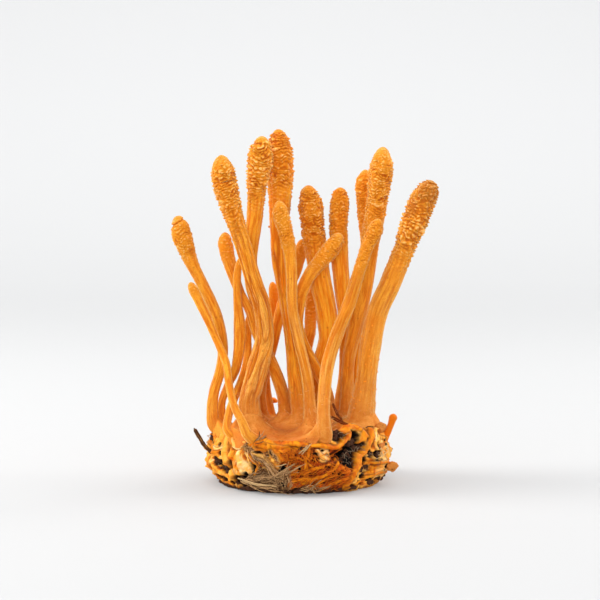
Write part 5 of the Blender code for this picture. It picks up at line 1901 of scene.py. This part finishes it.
# %% Side of the cake
def side_material():
    material, tree, shader = new_material("cake_membranes", 0.6, 0.12, 0.4, 0.02)
    spot = spots_in_mm(tree)
    mask = {key: stored(tree, key) for key in (*MASKS, "hollow", "peak_highlight")}
    slow = noise_of(tree, spot, 0.22, 3.0, 0.6)
    patch = noise_of(tree, spot, 0.60, 4.0, 1.0)
    grain = noise_of(tree, spot, 3.0, 4.0)
    film = mix(tree, remap(tree, patch, 0.38, 0.62), colour(226, 108, 6), colour(250, 158, 34))
    film = mix(tree, remap(tree, slow, 0.56, 0.68), film, colour(232, 166, 84))
    # Raised membrane walls are paler: partly the pale mycelium, partly painted highlight.
    film = mix(tree, times(tree, mask["wall"], 0.7), film, colour(248, 184, 84))
    # The frayed part and the straw get painted shade in their depths and painted highlights on their
    # crests.
    fray = mix(tree, remap(tree, mask["crest"], 0.20, 0.75), colour(62, 13, 0), colour(214, 86, 0))
    straw = mix(tree, remap(tree, mask["crest"], 0.2, 0.8), colour(40, 22, 12), colour(140, 92, 52))
    base = mix(tree, mask["frayed"], film, fray)
    base = mix(tree, mask["strawy"], base, straw)
    brown = times(tree, remap(tree, noise_of(tree, spot, 0.9, 4.0, 1.4), 0.56, 0.70), 0.7)
    base = mix(tree, brown, base, colour(96, 52, 22))
    cream = mix(tree, remap(tree, patch, 0.36, 0.58), colour(254, 214, 148), colour(248, 182, 88))
    # Cream stays pale on the crests and turns orange lower down, so its pale edges are partly painted
    # highlight.
    cream = mix(tree, remap(tree, mask["crest"], 0.4, 0.0, 0.0, 0.6), cream, colour(240, 146, 34))
    bright = mix(tree, remap(tree, patch, 0.36, 0.66), colour(226, 138, 12), colour(196, 88, 2))
    worn = remap(tree, noise_of(tree, spot, 1.4, 3.0, 3.0), 0.40, 0.62)
    taupe = mix(tree, worn, colour(80, 50, 28), colour(176, 128, 80))
    rust = mix(tree, remap(tree, patch, 0.4, 0.6), colour(170, 62, 2), colour(110, 34, 4))
    gold = mix(tree, remap(tree, patch, 0.36, 0.62), colour(248, 170, 66), colour(230, 132, 24))
    paints = {"rust": rust, "taupe": taupe, "bright": bright, "gold": gold, "cream": cream}
    for key, paint in paints.items():
        base = mix(tree, mask[key], base, paint)
    # Painted highlights on the peaks, with a colour for each kind of ground.
    light = mix(tree, mask["frayed"], colour(255, 190, 80), colour(250, 146, 24))
    light = mix(tree, mask["strawy"], light, colour(196, 140, 84))
    peak_highlight = times(tree, mask["peak_highlight"], maths(tree, "MULTIPLY_ADD", mask["bright"], -0.32, 0.45))
    base = mix(tree, peak_highlight, base, light)
    # Painted shade in the hollows, weaker on cream.
    hollow_shade = times(tree, mask["hollow"], maths(tree, "MULTIPLY_ADD", mask["cream"], -0.6, 0.95))
    base = mix(tree, hollow_shade, base, colour(62, 21, 3))
    # Painted shade in the crease beside each cord.
    base = mix(tree, times(tree, mask["shaded_crease"], 0.6), base, colour(84, 32, 6))
    # Pits: dark crumbly matter, darkened to nearly black by painted shade.
    crumbly = remap(tree, noise_of(tree, spot, 1.6, 4.0, 0.8), 0.46, 0.72)
    dark = mix(tree, crumbly, colour(4, 2, 2), colour(36, 20, 12))
    base = mix(tree, mask["hole"], base, dark)
    # Painted shade near the floor: the side is darker towards its ragged bottom, less so on the right.
    place = add_node(tree, "ShaderNodeSeparateXYZ", {"Vector": spot})
    above = maths(tree, "ADD", place.outputs["Z"], 2.0)
    low = maths(tree, "MULTIPLY_ADD", noise_of(tree, spot, 0.45, 3.0), -4.0, above)
    leftward = remap(tree, place.outputs["X"], 7.0, 13.0, 1.0, 0.4)
    bottom_shade = times(tree, remap(tree, low, 1.7, 0.6, 0.0, 0.95), leftward)
    base = mix(tree, bottom_shade, base, colour(32, 17, 9))
    tree.links.new(base, shader.inputs["Base Color"])
    tree.links.new(remap(tree, grain, 0.3, 0.7, 0.42, 0.8), shader.inputs["Roughness"])
    add_bump(tree, shader, grain, 0.6, 0.25)
    return material


def top_material():
    material, tree, shader = new_material("cake_powder", 0.75, 0.2, 0.7, 0.12)
    spot = spots_in_mm(tree)
    grain = noise_of(tree, spot, 3.2, 4.0)
    base = powder_colour(tree, spot)
    place = add_node(tree, "ShaderNodeSeparateXYZ", {"Vector": spot})
    # Painted shade in the low places of the top, between the feet and at its lowered edge.
    rim = remap(tree, place.outputs["Z"], 13.8, 12.2, 0.0, 0.5)
    base = mix(tree, rim, base, colour(178, 84, 26))
    left = remap(tree, place.outputs["X"], -12.0, -17.0, 0.0, 0.7)
    base = mix(tree, left, base, colour(238, 150, 48))
    speck = use_group(tree, FLECK, Vector=spot, Scale=1.9, Amount=0.30)
    where = remap(tree, noise_of(tree, spot, 0.3, 2.0), 0.42, 0.60, 0.0, 0.7)
    base = mix(tree, times(tree, speck.outputs["Mask"], where), base, colour(120, 58, 24))
    tree.links.new(base, shader.inputs["Base Color"])
    add_bump(tree, shader, grain, 0.5, 0.2)
    return material


cake_side.data.materials.append(side_material())
cake_top.data.materials.append(top_material())
print("cake finishes:", [piece.active_material.name for piece in (cake_side, cake_top)])


# %% Straw, threads, hairs, crumbs, lumps and twigs
def thread_material(name, dark, light, roughness):
    """Finish of thin things: each has its own shade, with small dark flecks."""
    material, tree, shader = new_material(name, roughness)
    spot = spots_in_mm(tree)
    base = mix(tree, stored(tree, "shade"), dark, light)
    streak = noise_of(tree, spot, 9.0, 2.0, 0.5)
    darker = (*(v * 0.45 for v in dark[:3]), 1)
    base = mix(tree, remap(tree, streak, 0.45, 0.7, 0.0, 0.55), base, darker)
    tree.links.new(base, shader.inputs["Base Color"])
    add_bump(tree, shader, streak, 0.5, 0.06)
    return material


def rough_material(name, dark, light, roughness):
    """Finish of crumbs, lumps and twigs: painted highlight on the high places, painted shade in the low
    ones.
    """
    material, tree, shader = new_material(name, roughness)
    spot = spots_in_mm(tree)
    grain = noise_of(tree, spot, 4.0, 4.0, 0.5)
    raised = remap(tree, stored(tree, "relief"), 0.4, 1.2)
    both = maths(tree, "MULTIPLY_ADD", raised, 0.6, times(tree, grain, 0.5))
    base = mix(tree, remap(tree, both, 0.25, 0.75), dark, light)
    tree.links.new(base, shader.inputs["Base Color"])
    add_bump(tree, shader, grain, 0.7, 0.2)
    return material


# piece, kind of finish, its name, its dark and its light colour, roughness, slot
FINISHES = [
    (straw_bundle, thread_material, "dry_straw", (50, 26, 12), (228, 178, 122), 0.55, "straw"),
    (straw_sticks, thread_material, "straw_stick", (120, 78, 44), (232, 196, 140), 0.5, "straw"),
    (orange_threads, thread_material, "orange_thread", (160, 54, 0), (240, 134, 22), 0.55, "matted_cake"),
    (grey_hairs, thread_material, "grey_hair", (70, 54, 44), (180, 158, 128), 0.6, "straw"),
    (dark_crumbs, rough_material, "dark_crumb", (9, 5, 4), (74, 46, 32), 0.8, "straw"),
    (stem_grains, rough_material, "stem_grain", (190, 84, 6), (244, 152, 40), 0.6, "club_flesh"),
    (foot_fuzz, thread_material, "foot_fuzz", (226, 140, 60), (252, 208, 140), 0.6, "club_flesh"),
]
for thing, finish, name, dark, light, roughness, slot in FINISHES:
    thing.data.materials.append(finish(name, colour(*dark), colour(*light), roughness))
root_finish = rough_material("rust_root", colour(110, 50, 14), colour(222, 140, 62), 0.6)
lump_finish = rough_material("brown_lump_skin", colour(96, 48, 14), colour(200, 124, 52), 0.65)
twig_finish = rough_material("dark_twig", colour(70, 42, 24), colour(196, 140, 70), 0.6)
for thing in [*brown_lumps, flesh_bits]:
    thing.data.materials.append(lump_finish)
for thing in twigs:
    thing.data.materials.append(twig_finish if "twig" in thing.name else root_finish)
print("finishes:", len(bpy.data.materials))
